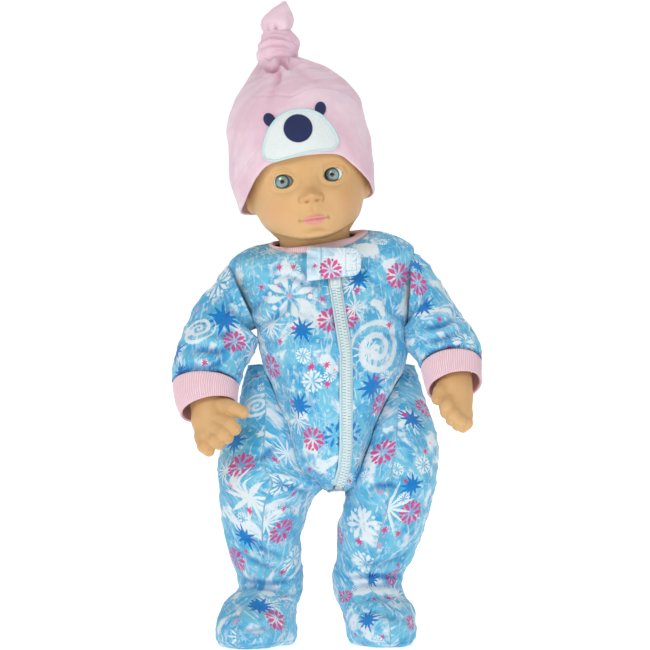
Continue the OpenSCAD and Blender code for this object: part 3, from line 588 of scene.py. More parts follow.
def fleece_material(name, motifs, whitened=0.0):
    """Printed coral fleece: watery sky ground, scattered stars and snowflakes, short soft pile, and painted
    shade, a deeper blue, in its folds, seams and rolled hems.
    """
    material, graph, shader = new_material(name, Roughness=0.92, Sheen_Weight=0.32, Sheen_Roughness=0.45,
                                           Sheen_Tint=(0.9, 0.97, 1.0), Specular_IOR_Level=0.18)
    cloth = graph.attribute("cloth")
    u, v, fold_shade = graph.split(cloth)
    flat = graph.join(u, v)
    blur = graph.vector("SUBTRACT", graph.noise(flat, 0.55, 2, want="Color"), (0.5, 0.5, 0.5))
    pile = graph.vector("SUBTRACT", graph.noise(flat, 2.6, 1, want="Color"), (0.5, 0.5, 0.5))
    place = graph.vector("ADD", graph.vector("ADD", flat, graph.vector("SCALE", blur, scale=1.1)),
                         graph.vector("SCALE", pile, scale=0.75))
    wash = graph.noise(place, 0.045, 3, 0.55, 1.2)
    colour = graph.mix(graph.ramp(wash, 0.38, 0.62), MIDDLE, SKY)
    streak_along = graph.math("MULTIPLY_ADD", u, 0.03, graph.times(v, 0.05))
    streak_place = graph.join(graph.times(u, 0.16), streak_along)
    streak = graph.noise(streak_place, 1.0, 4, 0.62, 2.2)
    colour = graph.mix(graph.times(graph.ramp(streak, 0.52, 0.68), 0.72), colour, PALE)
    cloud = graph.noise(graph.vector("ADD", place, (71.0, 13.0, 0.0)), 0.05, 4, 0.6, 0.5)
    colour = graph.mix(graph.times(graph.ramp(cloud, 0.53, 0.62), 0.92), colour, PALE)
    # mixes the print's ground toward white by this share, under the brush lines and motifs
    colour = graph.mix(whitened, colour, PALE)
    brush = graph.noise(graph.vector("ADD", place, (9.0, 47.0, 0.0)), 0.045, 2, 0.5, 1.6)
    line = graph.math("ABSOLUTE", graph.minus(brush, 0.5))
    colour = graph.mix(graph.times(graph.ramp(line, 0.03, 0.006), 0.26), colour, PALE)
    colour = scattered(graph, colour, place, 46.0, "white_flake", 13.0, 0.45, 1)
    colour = scattered(graph, colour, place, 27.0, "white_petal", 5.0, 0.3, 2)
    colour = scattered(graph, colour, place, 10.0, "rose_star", 1.3, 0.22, 3)
    colour = scattered(graph, colour, place, 8.0, "white_petal", 1.2, 0.4, 4)
    colour = scattered(graph, colour, place, 22.0, "pink_star", 2.4, 0.25, 5)
    for kind, cu, cv, radius, turn in motifs:
        mask, tint, strength = motif_mask(graph, place, kind, (cu, cv, 0.0), radius, turn)
        soft = graph.times(mask, strength)
        colour = graph.mix(soft, colour, tint)
    tone = graph.noise(flat, 0.9, 3, 0.6)
    colour = graph.mix(0.10, colour, graph.mix(tone, (0.25, 0.25, 0.25), (1.0, 1.0, 1.0)), "SOFT_LIGHT")
    # painted shade: the print turns a deeper blue where the third cloth channel marks creases, seams and
    # rolled hems
    shaded_print = graph.mix(1.0, colour, FOLD_SHADE_BLUE, "MULTIPLY")
    colour = graph.mix(graph.times(graph.ramp(fold_shade, 0.12, 1.0), 0.75), colour, shaded_print)
    graph.put(shader.inputs["Base Color"], colour)
    combed = graph.join(graph.times(u, 1.7), graph.times(v, 0.7))
    fibre = graph.noise(combed, 1.25, 3, 0.7, 0.5)
    tufts = graph.noise(flat, 0.42, 3, 0.6)
    soft = graph.bump(tufts, 0.0011, 0.55)
    graph.put(shader.inputs["Normal"], graph.bump(fibre, 0.0007, 0.75, soft))
    return material


def rib_material(name, low, high):
    """Pink rib knit: the geometry has the ribs, the shader the stitches and a painted light and shade that
    follows the ribs.
    """
    material, graph, shader = new_material(name, Roughness=0.85, Sheen_Weight=0.25, Sheen_Roughness=0.4,
                                           Specular_IOR_Level=0.2)
    u, v, rise = graph.split(graph.attribute("cloth"))
    wobble = graph.noise(graph.join(u, v), 0.25, 2)
    # painted light and shade: rib tops take the high colour, grooves and turned-in edges the low colour
    colour = graph.mix(graph.ramp(rise, 0.15, 0.9), low, high)
    colour = graph.mix(graph.times(wobble, 0.22), colour, low)
    graph.put(shader.inputs["Base Color"], colour)
    stitch = graph.wave(v, 0.75)
    fuzz = graph.noise(graph.join(u, v), 3.0, 2, 0.6)
    height = graph.plus(graph.times(stitch, 0.18), fuzz)
    graph.put(shader.inputs["Normal"], graph.bump(height, 0.00035, 0.6))
    return material


WALE = 0.62                     # width of one knit column


def jersey_material(name, low, high):
    """Fine jersey knit: narrow wales, a little fuzz, faint lilac patches, and painted shade in its folds,
    seam and gathers.
    """
    material, graph, shader = new_material(name, Roughness=0.82, Sheen_Weight=0.3, Sheen_Roughness=0.4,
                                           Specular_IOR_Level=0.2)
    u, v, fold_shade = graph.split(graph.attribute("cloth"))
    flat = graph.join(u, v)
    patch = graph.noise(flat, 0.035, 3, 0.5)
    colour = graph.mix(graph.ramp(patch, 0.35, 0.65), low, high)
    lilac = graph.noise(graph.vector("ADD", flat, (31.0, 5.0, 0.0)), 0.05, 2)
    colour = graph.mix(graph.times(graph.ramp(lilac, 0.5, 0.7), 0.35), colour, srgb(226, 200, 224))
    # painted shade: the hat's folds, seam and gathers darken toward a deeper pink
    colour = graph.mix(graph.times(graph.ramp(fold_shade, 0.1, 1.0), 0.7), colour, srgb(214, 142, 170))
    graph.put(shader.inputs["Base Color"], colour)
    wandering = graph.plus(u, graph.noise(flat, 0.5, 1))
    wales = graph.wave(wandering, WALE)
    courses = graph.wave(v, WALE * 0.8)
    stitches = graph.times(wales, courses)
    height = graph.math("MULTIPLY_ADD", stitches, 0.35, graph.noise(flat, 2.4, 2, 0.6))
    graph.put(shader.inputs["Normal"], graph.bump(height, 0.00022, 0.6))
    return material


def felt_material(name, colour, stitch_colour=None, pitch=0.5):
    """Applique cloth or solid satin stitch with fine parallel threads."""
    material, graph, shader = new_material(name, Roughness=0.62, Sheen_Weight=0.2, Specular_IOR_Level=0.3)
    where = object_place(graph)
    x, _, z = graph.split(where)
    thread = graph.wave(graph.math("MULTIPLY_ADD", z, 0.17, x), pitch)
    tone = graph.noise(where, 0.5, 3, 0.6)
    other = stitch_colour or tuple(c * 0.72 for c in colour)
    share = graph.math("MULTIPLY_ADD", thread, 0.14, graph.times(tone, 0.5), clamp=True)
    graph.put(shader.inputs["Base Color"], graph.mix(share, colour, other))
    height = graph.math("MULTIPLY_ADD", thread, 0.4, tone)
    graph.put(shader.inputs["Normal"], graph.bump(height, 0.00022, 0.7))
    return material


def plastic_material(name, colour, rough=0.35, **more):
    """Moulded plastic with a faint orange-peel and uneven gloss."""
    material, graph, shader = new_material(name, Roughness=rough, **more)
    where = object_place(graph)
    tone = graph.noise(where, 0.12, 3)
    darker = tuple(c * 0.82 for c in colour)
    graph.put(shader.inputs["Base Color"], graph.mix(graph.times(tone, 0.25), colour, darker))
    uneven = graph.math("MULTIPLY_ADD", graph.noise(where, 0.4, 2), 0.18, rough - 0.08)
    graph.put(shader.inputs["Roughness"], uneven)
    graph.put(shader.inputs["Normal"], graph.bump(graph.noise(where, 1.3, 2), 0.00006, 0.5))
    return material


def metal_material(name, colour, rough=0.28):
    """Bright metal with drawing lines."""
    material, graph, shader = new_material(name, Metallic=1.0, Roughness=rough, Base_Color=colour)
    where = graph.vector("MULTIPLY", object_place(graph), (1.0, 1.0, 6.0))
    scratch = graph.noise(where, 1.1, 3, 0.7)
    graph.put(shader.inputs["Roughness"], graph.math("MULTIPLY_ADD", scratch, 0.25, rough - 0.08))
    graph.put(shader.inputs["Normal"], graph.bump(scratch, 0.00003, 0.6))
    return material


def woven_material(name, colour, pitch):
    """Plain woven cotton or tape."""
    material, graph, shader = new_material(name, Roughness=0.85, Sheen_Weight=0.2)
    x, y, z = graph.split(object_place(graph))
    side = graph.plus(x, y)
    warp = graph.wave(side, pitch)
    weft = graph.wave(z, pitch)
    weave = graph.times(warp, weft)
    tone = graph.noise(graph.join(x, y, z), 0.3, 3)
    share = graph.math("MULTIPLY_ADD", weave, 0.08, graph.times(tone, 0.35), clamp=True)
    graph.put(shader.inputs["Base Color"], graph.mix(share, colour, tuple(c * 0.78 for c in colour)))
    graph.put(shader.inputs["Normal"], graph.bump(weave, 0.00015, 0.6))
    return material


def vinyl_material():
    """Soft matt vinyl: warm tan, blushed cheeks, painted lips, slight translucency, and painted shade in its
    creases and hollows.
    """
    material, graph, shader = new_material("doll_vinyl", Roughness=0.46, Specular_IOR_Level=0.32,
                                           Subsurface_Weight=0.12, Subsurface_Scale=0.004)
    shader.inputs["Subsurface Radius"].default_value = (1.0, 0.45, 0.25)
    where = object_place(graph)
    lip, blush, recess_shade = graph.split(graph.attribute("paint"))
    tone = graph.noise(where, 0.035, 3, 0.5)
    colour = graph.mix(graph.ramp(tone, 0.3, 0.7), srgb(212, 168, 114), srgb(221, 179, 126))
    colour = graph.mix(graph.times(blush, 0.5), colour, srgb(232, 168, 124))
    # painted shade: nostrils, mouth line, dimples, nose and chin creases, ear hollows, nail edges and
    # eye-socket rims darken to a deep brown
    colour = graph.mix(graph.times(recess_shade, 0.75), colour, srgb(165, 112, 66))
    edge = graph.plus(lip, graph.math("MULTIPLY_ADD", graph.noise(where, 1.6, 2), 0.16, -0.08))
    lips = graph.times(graph.ramp(edge, 0.32, 0.68), 0.88)
    colour = graph.mix(lips, colour, srgb(226, 148, 144))
    graph.put(shader.inputs["Base Color"], colour)
    fine = graph.noise(where, 1.7, 3, 0.6)
    graph.put(shader.inputs["Roughness"], graph.math("MULTIPLY_ADD", fine, 0.14, 0.40))
    graph.put(shader.inputs["Normal"], graph.bump(fine, 0.00005, 0.6))
    return material


def eye_material():
    """Clear-fronted doll eye: white, dark-rimmed teal iris with pale spokes, and a pupil."""
    material, graph, shader = new_material("doll_eye", Roughness=0.12, Coat_Weight=1.0, Coat_Roughness=0.02,
                                           Specular_IOR_Level=0.5)
    x, z, _ = graph.split(graph.attribute("gaze"))
    radius = graph.hypot(x, z)
    angle = graph.math("ARCTAN2", z, x)
    round_place = graph.join(graph.times(graph.math("COSINE", angle), 6.0),
                             graph.times(graph.math("SINE", angle), 6.0),
                             graph.times(radius, 0.55))
    spokes = graph.noise(round_place, 1.5, 3, 0.65)
    iris = graph.mix(graph.ramp(radius, 1.4, 3.2), srgb(132, 128, 138), srgb(112, 146, 142))
    iris = graph.mix(graph.times(graph.ramp(spokes, 0.42, 0.66), 0.7), iris, srgb(158, 180, 180))
    iris = graph.mix(graph.ramp(radius, 3.3, 4.3), iris, srgb(58, 112, 102))
    iris = graph.mix(graph.ramp(radius, 4.4, 4.85), iris, srgb(28, 62, 60))
    colour = graph.mix(graph.ramp(radius, 5.05, 4.8), srgb(236, 238, 238), iris)
    colour = graph.mix(graph.ramp(radius, 1.55, 1.25), colour, (0.004, 0.004, 0.005))
    graph.put(shader.inputs["Base Color"], colour)
    return material


# pinks of the painted light and shade on the rib knit: shaded grooves, lit rib tops
RIB_SHADED = srgb(236, 192, 203)
RIB_LIT = srgb(248, 225, 232)
MATERIALS = {
    "vinyl": vinyl_material(),
    "eye": eye_material(),
    "rib": rib_material("rib_pink", RIB_SHADED, RIB_LIT),
    "jersey": jersey_material("hat_pink", srgb(235, 198, 212), srgb(245, 218, 228)),
    "patch_white": felt_material("patch_white", srgb(232, 238, 238), srgb(214, 222, 222), 0.9),
    "patch_edge": felt_material("patch_edge", srgb(214, 238, 238), srgb(170, 214, 218), 0.6),
    "patch_navy": felt_material("patch_navy", srgb(30, 42, 92), srgb(18, 26, 62), 0.55),
    "zip": plastic_material("zip_white", srgb(222, 238, 240), 0.32, Subsurface_Weight=0.08,
                            Subsurface_Scale=0.001),
    "zip_tape": woven_material("zip_tape_white", srgb(206, 232, 240), 0.7),
    "white_plastic": plastic_material("plastic_white", srgb(232, 232, 228), 0.38),
    "ivory": plastic_material("plastic_ivory", srgb(214, 205, 186), 0.4),
    "cotton": woven_material("cotton_white", srgb(236, 226, 220), 0.9),
    "stuffing": woven_material("stuffing_white", srgb(240, 240, 238), 2.6),
    "hook_loop": woven_material("hook_loop_white", srgb(236, 238, 240), 1.1),
    "steel": metal_material("steel", (0.62, 0.62, 0.63)),
    "iron": metal_material("iron", (0.2, 0.2, 0.21), 0.5),
    "board": plastic_material("board_green", srgb(24, 98, 62), 0.45),
    "speaker": plastic_material("speaker_black", srgb(34, 34, 36), 0.6),
    "battery": metal_material("battery_foil", (0.62, 0.5, 0.22), 0.35),
    "button": plastic_material("button_pink", srgb(226, 96, 150), 0.35),
    "switch": plastic_material("switch_black", srgb(28, 28, 30), 0.4),
}

# CAD nodes that show as they are, by finish
KEPT_NODES = {
    "white_plastic": ["neck_flange", "neck_ball", "neck_socket", "neck_tie", "case_front", "case_back",
        "battery_door"],
    "steel": ["neck_retainer", "eye_pins_left", "eye_pins_right", "zip_stop", "case_screws",
        "battery_contacts", "button_spring"],
    "ivory": ["eye_socket_left", "eye_socket_right"],
    "iron": ["eye_weight_left", "eye_weight_right"],
    "cotton": ["cloth_body"],
    "stuffing": ["body_filling", "thigh_filling_left", "thigh_filling_right"],
    "hook_loop": ["flap_hook_patch", "flap_loop_patch"],
    "speaker": ["speaker"],
    "board": ["circuit_board"],
    "battery": ["batteries"],
    "button": ["tummy_button"],
    "switch": ["power_switch"],
    "vinyl": ["leg_left", "leg_right"],
}
for finish, node_names in KEPT_NODES.items():
    for node_name in node_names:
        node_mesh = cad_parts[node_name].data
        node_mesh.materials.clear()
        node_mesh.materials.append(MATERIALS[finish])


def side_word(side):
    return "left" if side > 0 else "right"


def finish_piece(piece, material, body, slot, *nodes):
    piece.data.materials.append(material)
    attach(piece, body)
    if nodes:
        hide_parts(*nodes)
    return piece


# ---------------------------------------------------------------- the doll's stations, in millimetres
# [z, centre x, centre y, x radius, y radius, turn, roll, pitch, saddle]; angles in degrees
TORSO = [
    [101, 9.5, 0, 7, 9], [108, 8, -2, 15.5, 22], [120, 3.5, -3, 23.5, 32], [134, 4, -4, 27.5, 37],
    [148, 4.5, -5, 31, 40.5], [160, 4.5, -5.5, 36, 42.5], [172, 5.5, -6, 41, 43.5], [184, 6, -6, 46.5, 43.5],
    [196, 5.7, -6, 49.5, 43], [210, 4.2, -5, 51.6, 41.5], [225, 3, -3, 56.5, 37], [240, 0.8, -1, 61, 32.7],
    [250.5, -0.3, 0, 64.5, 30.7, 0, 3, 3, 0], [258.5, -1.5, 0, 63, 29.8, 0, 4, 5, 0.6],
    [264, -2.7, 0.5, 56.5, 29.4, 0, 5, 6.5, 1.2], [267.8, -3.6, 1.2, 46, 29, 0, 6, 7.5, 1.8],
    [269.3, -4.2, 1.8, 33.5, 28.4, 0, 7.5, 8.4, 2.3],
]
COLLAR = [[269.0, -4.2, 1.8, 33.8, 28.7, 0, 7.5, 8.4, 2.3], [270.3, -4.9, 1.9, 32.4, 28.6, 0, 7.7, 7.2, 1.7],
          [270.7, -6, 2, 29.9, 28, 0, 8, 5.6, 0.7], [270.2, -6.7, 2, 28.1, 27.6, 0, 8.2, 4.5, 0]]
ZIP_X = [[101, 8], [120, 13], [134, 14], [196, 14], [240, 7], [262, 4]]
LEG_RIGHT = [
    [0, -45.5, -15, 21.5, 36, -18], [2.4, -45.5, -15, 24.2, 38.8, -18], [8, -45.5, -15, 25.2, 40, -18],
    [16, -45.3, -15, 25, 39, -18], [24, -44, -12, 24.3, 35, -18], [31, -40.5, -7, 23.6, 29, -16],
    [38, -36, -2, 21, 24.5, -12], [46, -37, 0, 22, 24, -6], [56, -39.2, 1, 23.8, 25.5, 0],
    [68, -41, 1, 25.2, 27, 0], [77, -41.4, 1, 26.6, 28, 0],
]
THIGH_RIGHT = [
    [77.4, -41.4, 1, 26.6, 28], [88, -40.6, 1, 29, 29], [98, -40.4, 1, 30, 29.5], [109, -43, 1, 28.5, 29.5],
    [120, -47.3, 1, 24.3, 28.5], [134, -47.3, 1, 21, 27], [150, -46, 1, 16, 24], [165, -46.5, 2, 10.3, 19],
    [177, -48.5, 3, 5.8, 13], [186, -49, 3, 2.2, 6],
]
LEG_LEFT = [
    [0, 37.5, -8, 19.5, 32, 10], [2.4, 37.5, -8, 22, 34.8, 10], [8, 37.5, -8, 23, 36, 10],
    [16, 37, -8, 23.4, 35.5, 10], [24, 35, -6, 23.8, 32.5, 10], [31, 31, -2, 23.6, 28.5, 8],
    [38, 28.6, 1, 22.6, 25, 5], [46, 29, 3, 23.3, 25, 0], [56, 33, 3.5, 24.8, 26.5, 0],
    [68, 35.6, 4, 27.3, 28, 0], [77, 37.6, 4, 28.8, 28.5, 0],
]
THIGH_LEFT = [
    [77.4, 37.6, 4, 28.8, 28.5], [88, 41, 3, 28.8, 29], [98, 44.5, 3, 27.6, 29.5], [109, 50.5, 2, 24.3, 29.5],
    [120, 52.6, 2, 22.8, 28.5], [134, 54.6, 2, 20.8, 27], [150, 55.3, 2, 16.6, 24], [165, 57, 2, 9.6, 18],
    [177, 58, 3, 4.2, 12], [186, 58.6, 3, 1.6, 5],
]
HOLE_RIGHT = (-56.2, 1, 232.4)
HOLE_LEFT = (57.8, 1, 236)
AXIS_RIGHT = (-math.cos(math.radians(25)), 0, -math.sin(math.radians(25)))
AXIS_LEFT = (math.cos(math.radians(4)), 0, -math.sin(math.radians(4)))
# [centre, direction, radius across, radius front to back]
SLEEVE_RIGHT = [
    [(-54.9, 1, 233), AXIS_RIGHT, 23.4, 23], [(-62.5, -1, 225.3), (-0.85, -0.1, -0.55), 22.8, 22.8],
    [(-66.6, -7, 212), (-0.42, -0.3, -0.86), 24.0, 22.3],
    [(-74, -14, 197), (-0.28, -0.42, -0.87), 23.8, 22.5],
    [(-78, -20, 184), (-0.15, -0.46, -0.88), 23.2, 22],
    [(-79.5, -24.5, 175.5), (-0.05, -0.48, -0.88), 22.4, 21.2],
]
SLEEVE_LEFT = [
    [(56.4, 1, 236), AXIS_LEFT, 27, 23], [(64.5, -1, 230.5), (0.93, -0.1, -0.36), 23, 22.8],
    [(69.4, -8, 217), (0.52, -0.35, -0.78), 19.6, 21.4],
    [(76.8, -15.5, 203.8), (0.3, -0.5, -0.82), 22.6, 21.8],
    [(82.6, -21.5, 194.3), (0.16, -0.54, -0.83), 21.2, 21], [(84, -25, 189), (0.1, -0.56, -0.83), 20.2, 20.2],
]
CUFF_RIGHT = [
    [(-79.6, -25.1, 174.6), (-0.05, -0.48, -0.88), 22.2, 21],
    [(-78.8, -30, 166), (0.12, -0.5, -0.87), 21, 20],
    [(-77.2, -34.5, 158.4), (0.2, -0.52, -0.85), 19.4, 18],
]
CUFF_LEFT = [
    [(84.1, -25.7, 188.2), (0.1, -0.56, -0.83), 20.1, 20.1],
    [(85, -30.5, 180.5), (0.16, -0.6, -0.79), 19.6, 19],
    [(86.3, -35.5, 173.5), (0.2, -0.62, -0.77), 18.6, 17.4],
]


TORSO_ROWS = smooth_rows(TORSO, 200, [1, 1, 1, 0.8, 0.8, 0.1, 0.1, 0.1, 0.1])


def oval_at(rows, z):
    """Centre x and y and radii x and y of a stack of ovals at each height z."""
    return [np.interp(z, rows[:, 0], rows[:, k]) for k in (1, 2, 3, 4)]


def inside_armholes(points, depth):
    """Presses the torso flat at both armhole planes, with a soft rounded edge."""
    out = points.copy()
    for hole, axis, low in ((HOLE_RIGHT, AXIS_RIGHT, 203), (HOLE_LEFT, AXIS_LEFT, 198)):
        beyond = (out - np.array(hole)) @ np.array(axis) + depth
        soft = 1.6
        rounded = np.where(beyond > -soft, (beyond + soft) ** 2 / (4 * soft), 0.0)
        push = np.where(beyond > soft, beyond, rounded)
        push = push * smooth_step(out[..., 2], low, low + 8)
        out[..., 0] -= push / axis[0]
    return out


def zip_edge_angle(rows, shift):
    """Angle of the zip edge on each torso row."""
    middle = np.interp(rows[:, 0], *zip(*ZIP_X)) + shift
    share = np.clip((middle - rows[:, 1]) / rows[:, 3], -1, 1)
    return 2 * math.pi - np.arccos(share)


HEM_WIDTH = 2.6


def edge_roll(grid, normals, columns, depth):
    """Rolls the chosen side edges of a sheet inwards, as a turned hem."""
    for first in columns:
        walk = run_length(grid if first == 0 else grid[:, ::-1], 1)
        walk = walk if first == 0 else walk[:, ::-1]
        drop = depth * np.clip(1 - walk / HEM_WIDTH, 0, 1) ** 2
        grid = grid - normals * drop[..., None]
    return grid


# Folds seen from the front: (depth, width, [(x, z), ...])
BODY_FOLDS = [
    (2.0, 2.6, [(-50, 210), (-38, 217), (-26, 226), (-18, 236)]),
    (1.6, 2.4, [(-52, 222), (-42, 231), (-36, 241)]),
    (1.3, 2.2, [(-49, 200), (-40, 203), (-28, 202)]),
    (1.3, 2.4, [(54, 217), (47, 221), (38, 230)]),
    (1.2, 2.2, [(53, 205), (45, 208), (36, 207)]),
    (1.5, 2.0, [(-36, 246), (-24, 247), (-12, 242), (-1, 240)]),
    (1.6, 1.6, [(-9, 255), (-8, 247), (-7, 240)]),
    (1.5, 1.5, [(-4.5, 257), (-4, 249), (-3, 242)]),
    (1.4, 1.4, [(-14, 256), (-13, 249), (-13, 243)]),
    (1.2, 2.2, [(25, 252), (32, 243), (42, 236)]),
    (1.1, 3.0, [(22, 236), (21, 215), (23, 196), (21, 176)]),
    (0.9, 3.0, [(6, 225), (5, 200), (6, 176), (5, 150)]),
    (1.0, 3.0, [(-34, 190), (-28, 172), (-20, 152), (-14, 134)]),
    (0.9, 2.6, [(42, 186), (36, 170), (30, 150), (27, 132)]),
    (1.3, 2.4, [(-21, 134), (-15, 124), (-6, 114)]),
    (1.1, 2.4, [(29, 136), (25, 124), (19, 113)]),
    (-1.0, 5.0, [(-30, 228), (-20, 214), (-16, 196)]),
]
THIGH_FOLDS_RIGHT = [
    (2.2, 2.8, [(-31, 136), (-38, 128), (-48, 124)]),
    (2.0, 2.6, [(-9, 100), (-18, 104), (-28, 108), (-34, 112)]),
    (1.3, 2.8, [(-12, 92), (-24, 93), (-36, 98)]),
    (1.2, 3.0, [(-66, 150), (-58, 144), (-50, 146)]),
    (2.0, 2.6, [(-62, 66), (-52, 58), (-40, 53), (-26, 50)]),
    (1.8, 2.4, [(-56, 74), (-44, 66), (-30, 60), (-22, 58)]),
    (2.4, 2.2, [(-61, 45), (-50, 43), (-36, 42), (-20, 44)]),
    (1.8, 2.0, [(-62, 36), (-50, 39), (-36, 38), (-20, 36)]),
    (1.7, 2.2, [(-30, 18), (-38, 14), (-48, 13), (-58, 15)]),
    (1.2, 2.2, [(-64, 27), (-54, 28), (-42, 26), (-30, 22)]),
    (1.5, 1.2, [(-25.5, 22), (-26, 14), (-27.5, 6)]),
]
THIGH_FOLDS_LEFT = [
    (2.6, 2.4, [(27, 103), (34, 107), (43, 108), (52, 104)]),
    (-1.3, 4.0, [(30, 98), (40, 101), (50, 98)]),
    (1.5, 2.8, [(31, 134), (42, 140), (50, 148)]),
    (1.2, 2.8, [(14, 92), (24, 94), (34, 92)]),
    (1.8, 2.6, [(60, 66), (50, 58), (38, 54), (18, 55)]),
    (2.2, 2.0, [(57, 48), (46, 45), (32, 47), (12, 45)]),
    (1.8, 2.0, [(54, 38), (42, 40), (28, 41), (12, 38)]),
    (1.5, 2.0, [(58, 30), (46, 33), (32, 32), (16, 28)]),
    (1.4, 2.0, [(20, 22), (32, 24), (46, 20), (57, 16)]),
    (1.5, 1.2, [(16, 22), (15, 14), (15, 6)]),
]
SLEEVE_FOLDS_RIGHT = [
    (2.4, 2.8, [(-92, 198), (-82, 199), (-70, 197), (-58, 203)]),
    (-1.6, 4.5, [(-94, 205), (-82, 207), (-68, 204)]),
    (2.2, 2.6, [(-97, 188), (-86, 186), (-74, 188), (-62, 194)]),
    (1.8, 2.4, [(-60, 214), (-66, 208), (-76, 208)]),
    (1.6, 2.2, [(-99, 182), (-90, 179), (-78, 180), (-66, 184)]),
    (1.4, 2.6, [(-58, 236), (-64, 228), (-66, 216)]),
    (1.1, 2.4, [(-74, 238), (-79, 226), (-84, 216)]),
]
SLEEVE_FOLDS_LEFT = [
    (2.4, 2.6, [(62, 214), (70, 213), (80, 216), (90, 221)]),
    (-1.5, 4.0, [(64, 221), (76, 222), (88, 228)]),
    (2.1, 2.4, [(63, 205), (72, 204), (84, 208), (96, 211)]),
    (1.7, 2.2, [(66, 197), (76, 198), (88, 200), (98, 203)]),
    (1.4, 2.4, [(60, 238), (66, 232), (70, 222)]),
    (1.2, 2.4, [(76, 243), (82, 234), (90, 226)]),
]

# Print motifs seen from the front: (kind, [(x, z, radius, turn), ...])
BODY_MOTIFS = [
    ("blue_star", [(-15.3, 211.5, 10.6, 0.2), (-16.6, 161.6, 11, 0.9), (31.3, 174.2, 13.5, 0.5),
        (22.6, 245.0, 9.5, 0.1), (21.9, 111.7, 8, 0.4)]),
    ("blue_petal", [(6.6, 142.3, 9.5, 0.3)]),
    ("pink_star", [(34.2, 179.5, 2.8, 0.1), (-22.6, 163.6, 2.8, 0.6), (-20.8, 212.8, 2.8, 0.3)]),
    ("pink_petal", [(-35.9, 186.2, 9.6, 0.2), (3.4, 218.1, 9.5, 0.5), (-8, 139, 9.6, 0.0),
        (36.6, 161.6, 9, 0.4), (48.6, 246.5, 9.8, 0.2)]),
    ("white_petal", [(-14.2, 194.8, 6, 0.0), (-8.1, 177.6, 8.5, 0.3), (-23.6, 233.9, 18, 0.1)]),
    ("white_swirl", [(34.9, 198.6, 21, 0.4)]),
    ("white_flake", [(20, 226, 10, 0.3), (-27, 118, 12, 0.6)]),
    ("pink_star", [(-30.2, 252.6, 3.2, 0.0), (-21.1, 252.8, 2.8, 0.5), (-42.1, 239.9, 3.2, 0.2),
        (-1.5, 231.7, 3.2, 0.7), (-29.9, 203.9, 3.2, 0.4), (-8.7, 187.5, 3.4, 0.1),
        (0.9, 188.7, 3.2, 0.5), (1.2, 176, 3.4, 0.2), (21.1, 237.7, 3.2, 0.3), (42.6, 214.5, 3.4, 0.1),
        (-20.6, 118.5, 3, 0.3), (-10.8, 117.2, 3, 0.6)]),
    ("rose_star", [(-23.6, 233.9, 2.8, 0.0), (-43, 221, 2, 0.0), (18, 136, 2.4, 0.0)]),
]
RIGHT_LEG_MOTIFS = [
    ("blue_star", [(-59.9, 136.3, 11, 0.3), (-53.2, 72.5, 9.5, 0.5), (-43.5, 27.9, 13, 0.1)]),
    ("pink_petal", [(-55.9, 119.7, 11, 0.1), (-29.3, 77.1, 8.6, 0.4), (-32.5, 19.5, 9.5, 0.2),
        (-59.3, 57, 8.5, 0.3)]),
    ("white_flake", [(-50, 99.4, 24, 0.2)]),
    ("white_swirl", [(-46, 160, 13, 0.0)]),
    ("pink_star", [(-33.9, 124.4, 3.2, 0.2), (-49.9, 90.4, 3.4, 0.5), (-27.3, 92, 2.6, 0.1),
        (-52.9, 62.8, 2.8, 0.6), (-27.5, 49.5, 3.4, 0.1)]),
    ("rose_star", [(-58.7, 19, 2.8, 0.3), (-62.8, 106.8, 2.4, 0.2)]),
    ("white_petal", [(-21, 58, 8, 0.4), (-30, 108, 9, 0.2)]),
]
LEFT_LEG_MOTIFS = [
    ("blue_star", [(57.6, 151.6, 10.5, 0.2), (57.9, 107, 10, 0.6), (28.6, 18.6, 10, 0.3),
        (31, 44, 7, 0.1)]),
    ("pink_petal", [(38.2, 129.3, 9.6, 0.2), (57.2, 89.1, 9.6, 0.5), (66.5, 158, 8.5, 0.1),
        (13.5, 32.6, 7.5, 0.4), (10.2, 72.8, 6, 0.1), (45.8, 45.8, 6.5, 0.3), (57, 16, 6, 0.2)]),
    ("white_petal", [(24, 81.3, 13, 0.2)]),
    ("white_flake", [(42, 92, 20, 0.5)]),
    ("white_petal", [(66, 120.6, 7, 0.1), (27.2, 54.8, 9, 0.3), (52, 98, 5, 0.2)]),
    ("pink_star", [(67, 129.7, 3.2, 0.4), (53.6, 154.5, 3, 0.1), (53.9, 110.7, 2.6, 0.5),
        (39.8, 77.1, 3.6, 0.2), (48.9, 75.3, 3.2, 0.7), (22.6, 69.8, 3.6, 0.1), (33.3, 32, 3, 0.4),
        (43, 32.6, 3.2, 0.0)]),
    ("rose_star", [(37, 103.5, 2.6, 0.1), (36, 67, 2.4, 0.4)]),
]
RIGHT_SLEEVE_MOTIFS = [
    ("blue_star", [(-67.2, 218.1, 15.5, 0.25)]),
    ("pink_petal", [(-59.9, 203.5, 9.6, 0.1)]),
    ("blue_star", [(-98, 196, 9, 0.2)]),
    ("pink_star", [(-60.5, 223, 3, 0.2)]),
    ("rose_star", [(-85, 224, 2.6, 0.4)]),
    ("white_petal", [(-72, 243, 11, 0.2)]),
    ("white_swirl", [(-84, 212, 12, 0.1)]),
    ("pink_star", [(-80, 190, 2.8, 0.3)]),
    ("blue_star", [(-97, 183, 8, 0.6)]),
]
LEFT_SLEEVE_MOTIFS = [
    ("blue_star", [(65.5, 226, 11, 0.4)]),
    ("pink_petal", [(62.5, 242.5, 8.6, 0.3)]),
    ("blue_star", [(62, 254, 6, 0.1)]),
    ("white_petal", [(92, 203, 9, 0.2)]),
    ("pink_star", [(83, 196, 3, 0.4)]),
    ("rose_star", [(80, 240, 2.4, 0.2)]),
    ("white_swirl", [(88, 233, 9, 0.3)]),
    ("pink_star", [(76, 218, 2.6, 0.2)]),
]
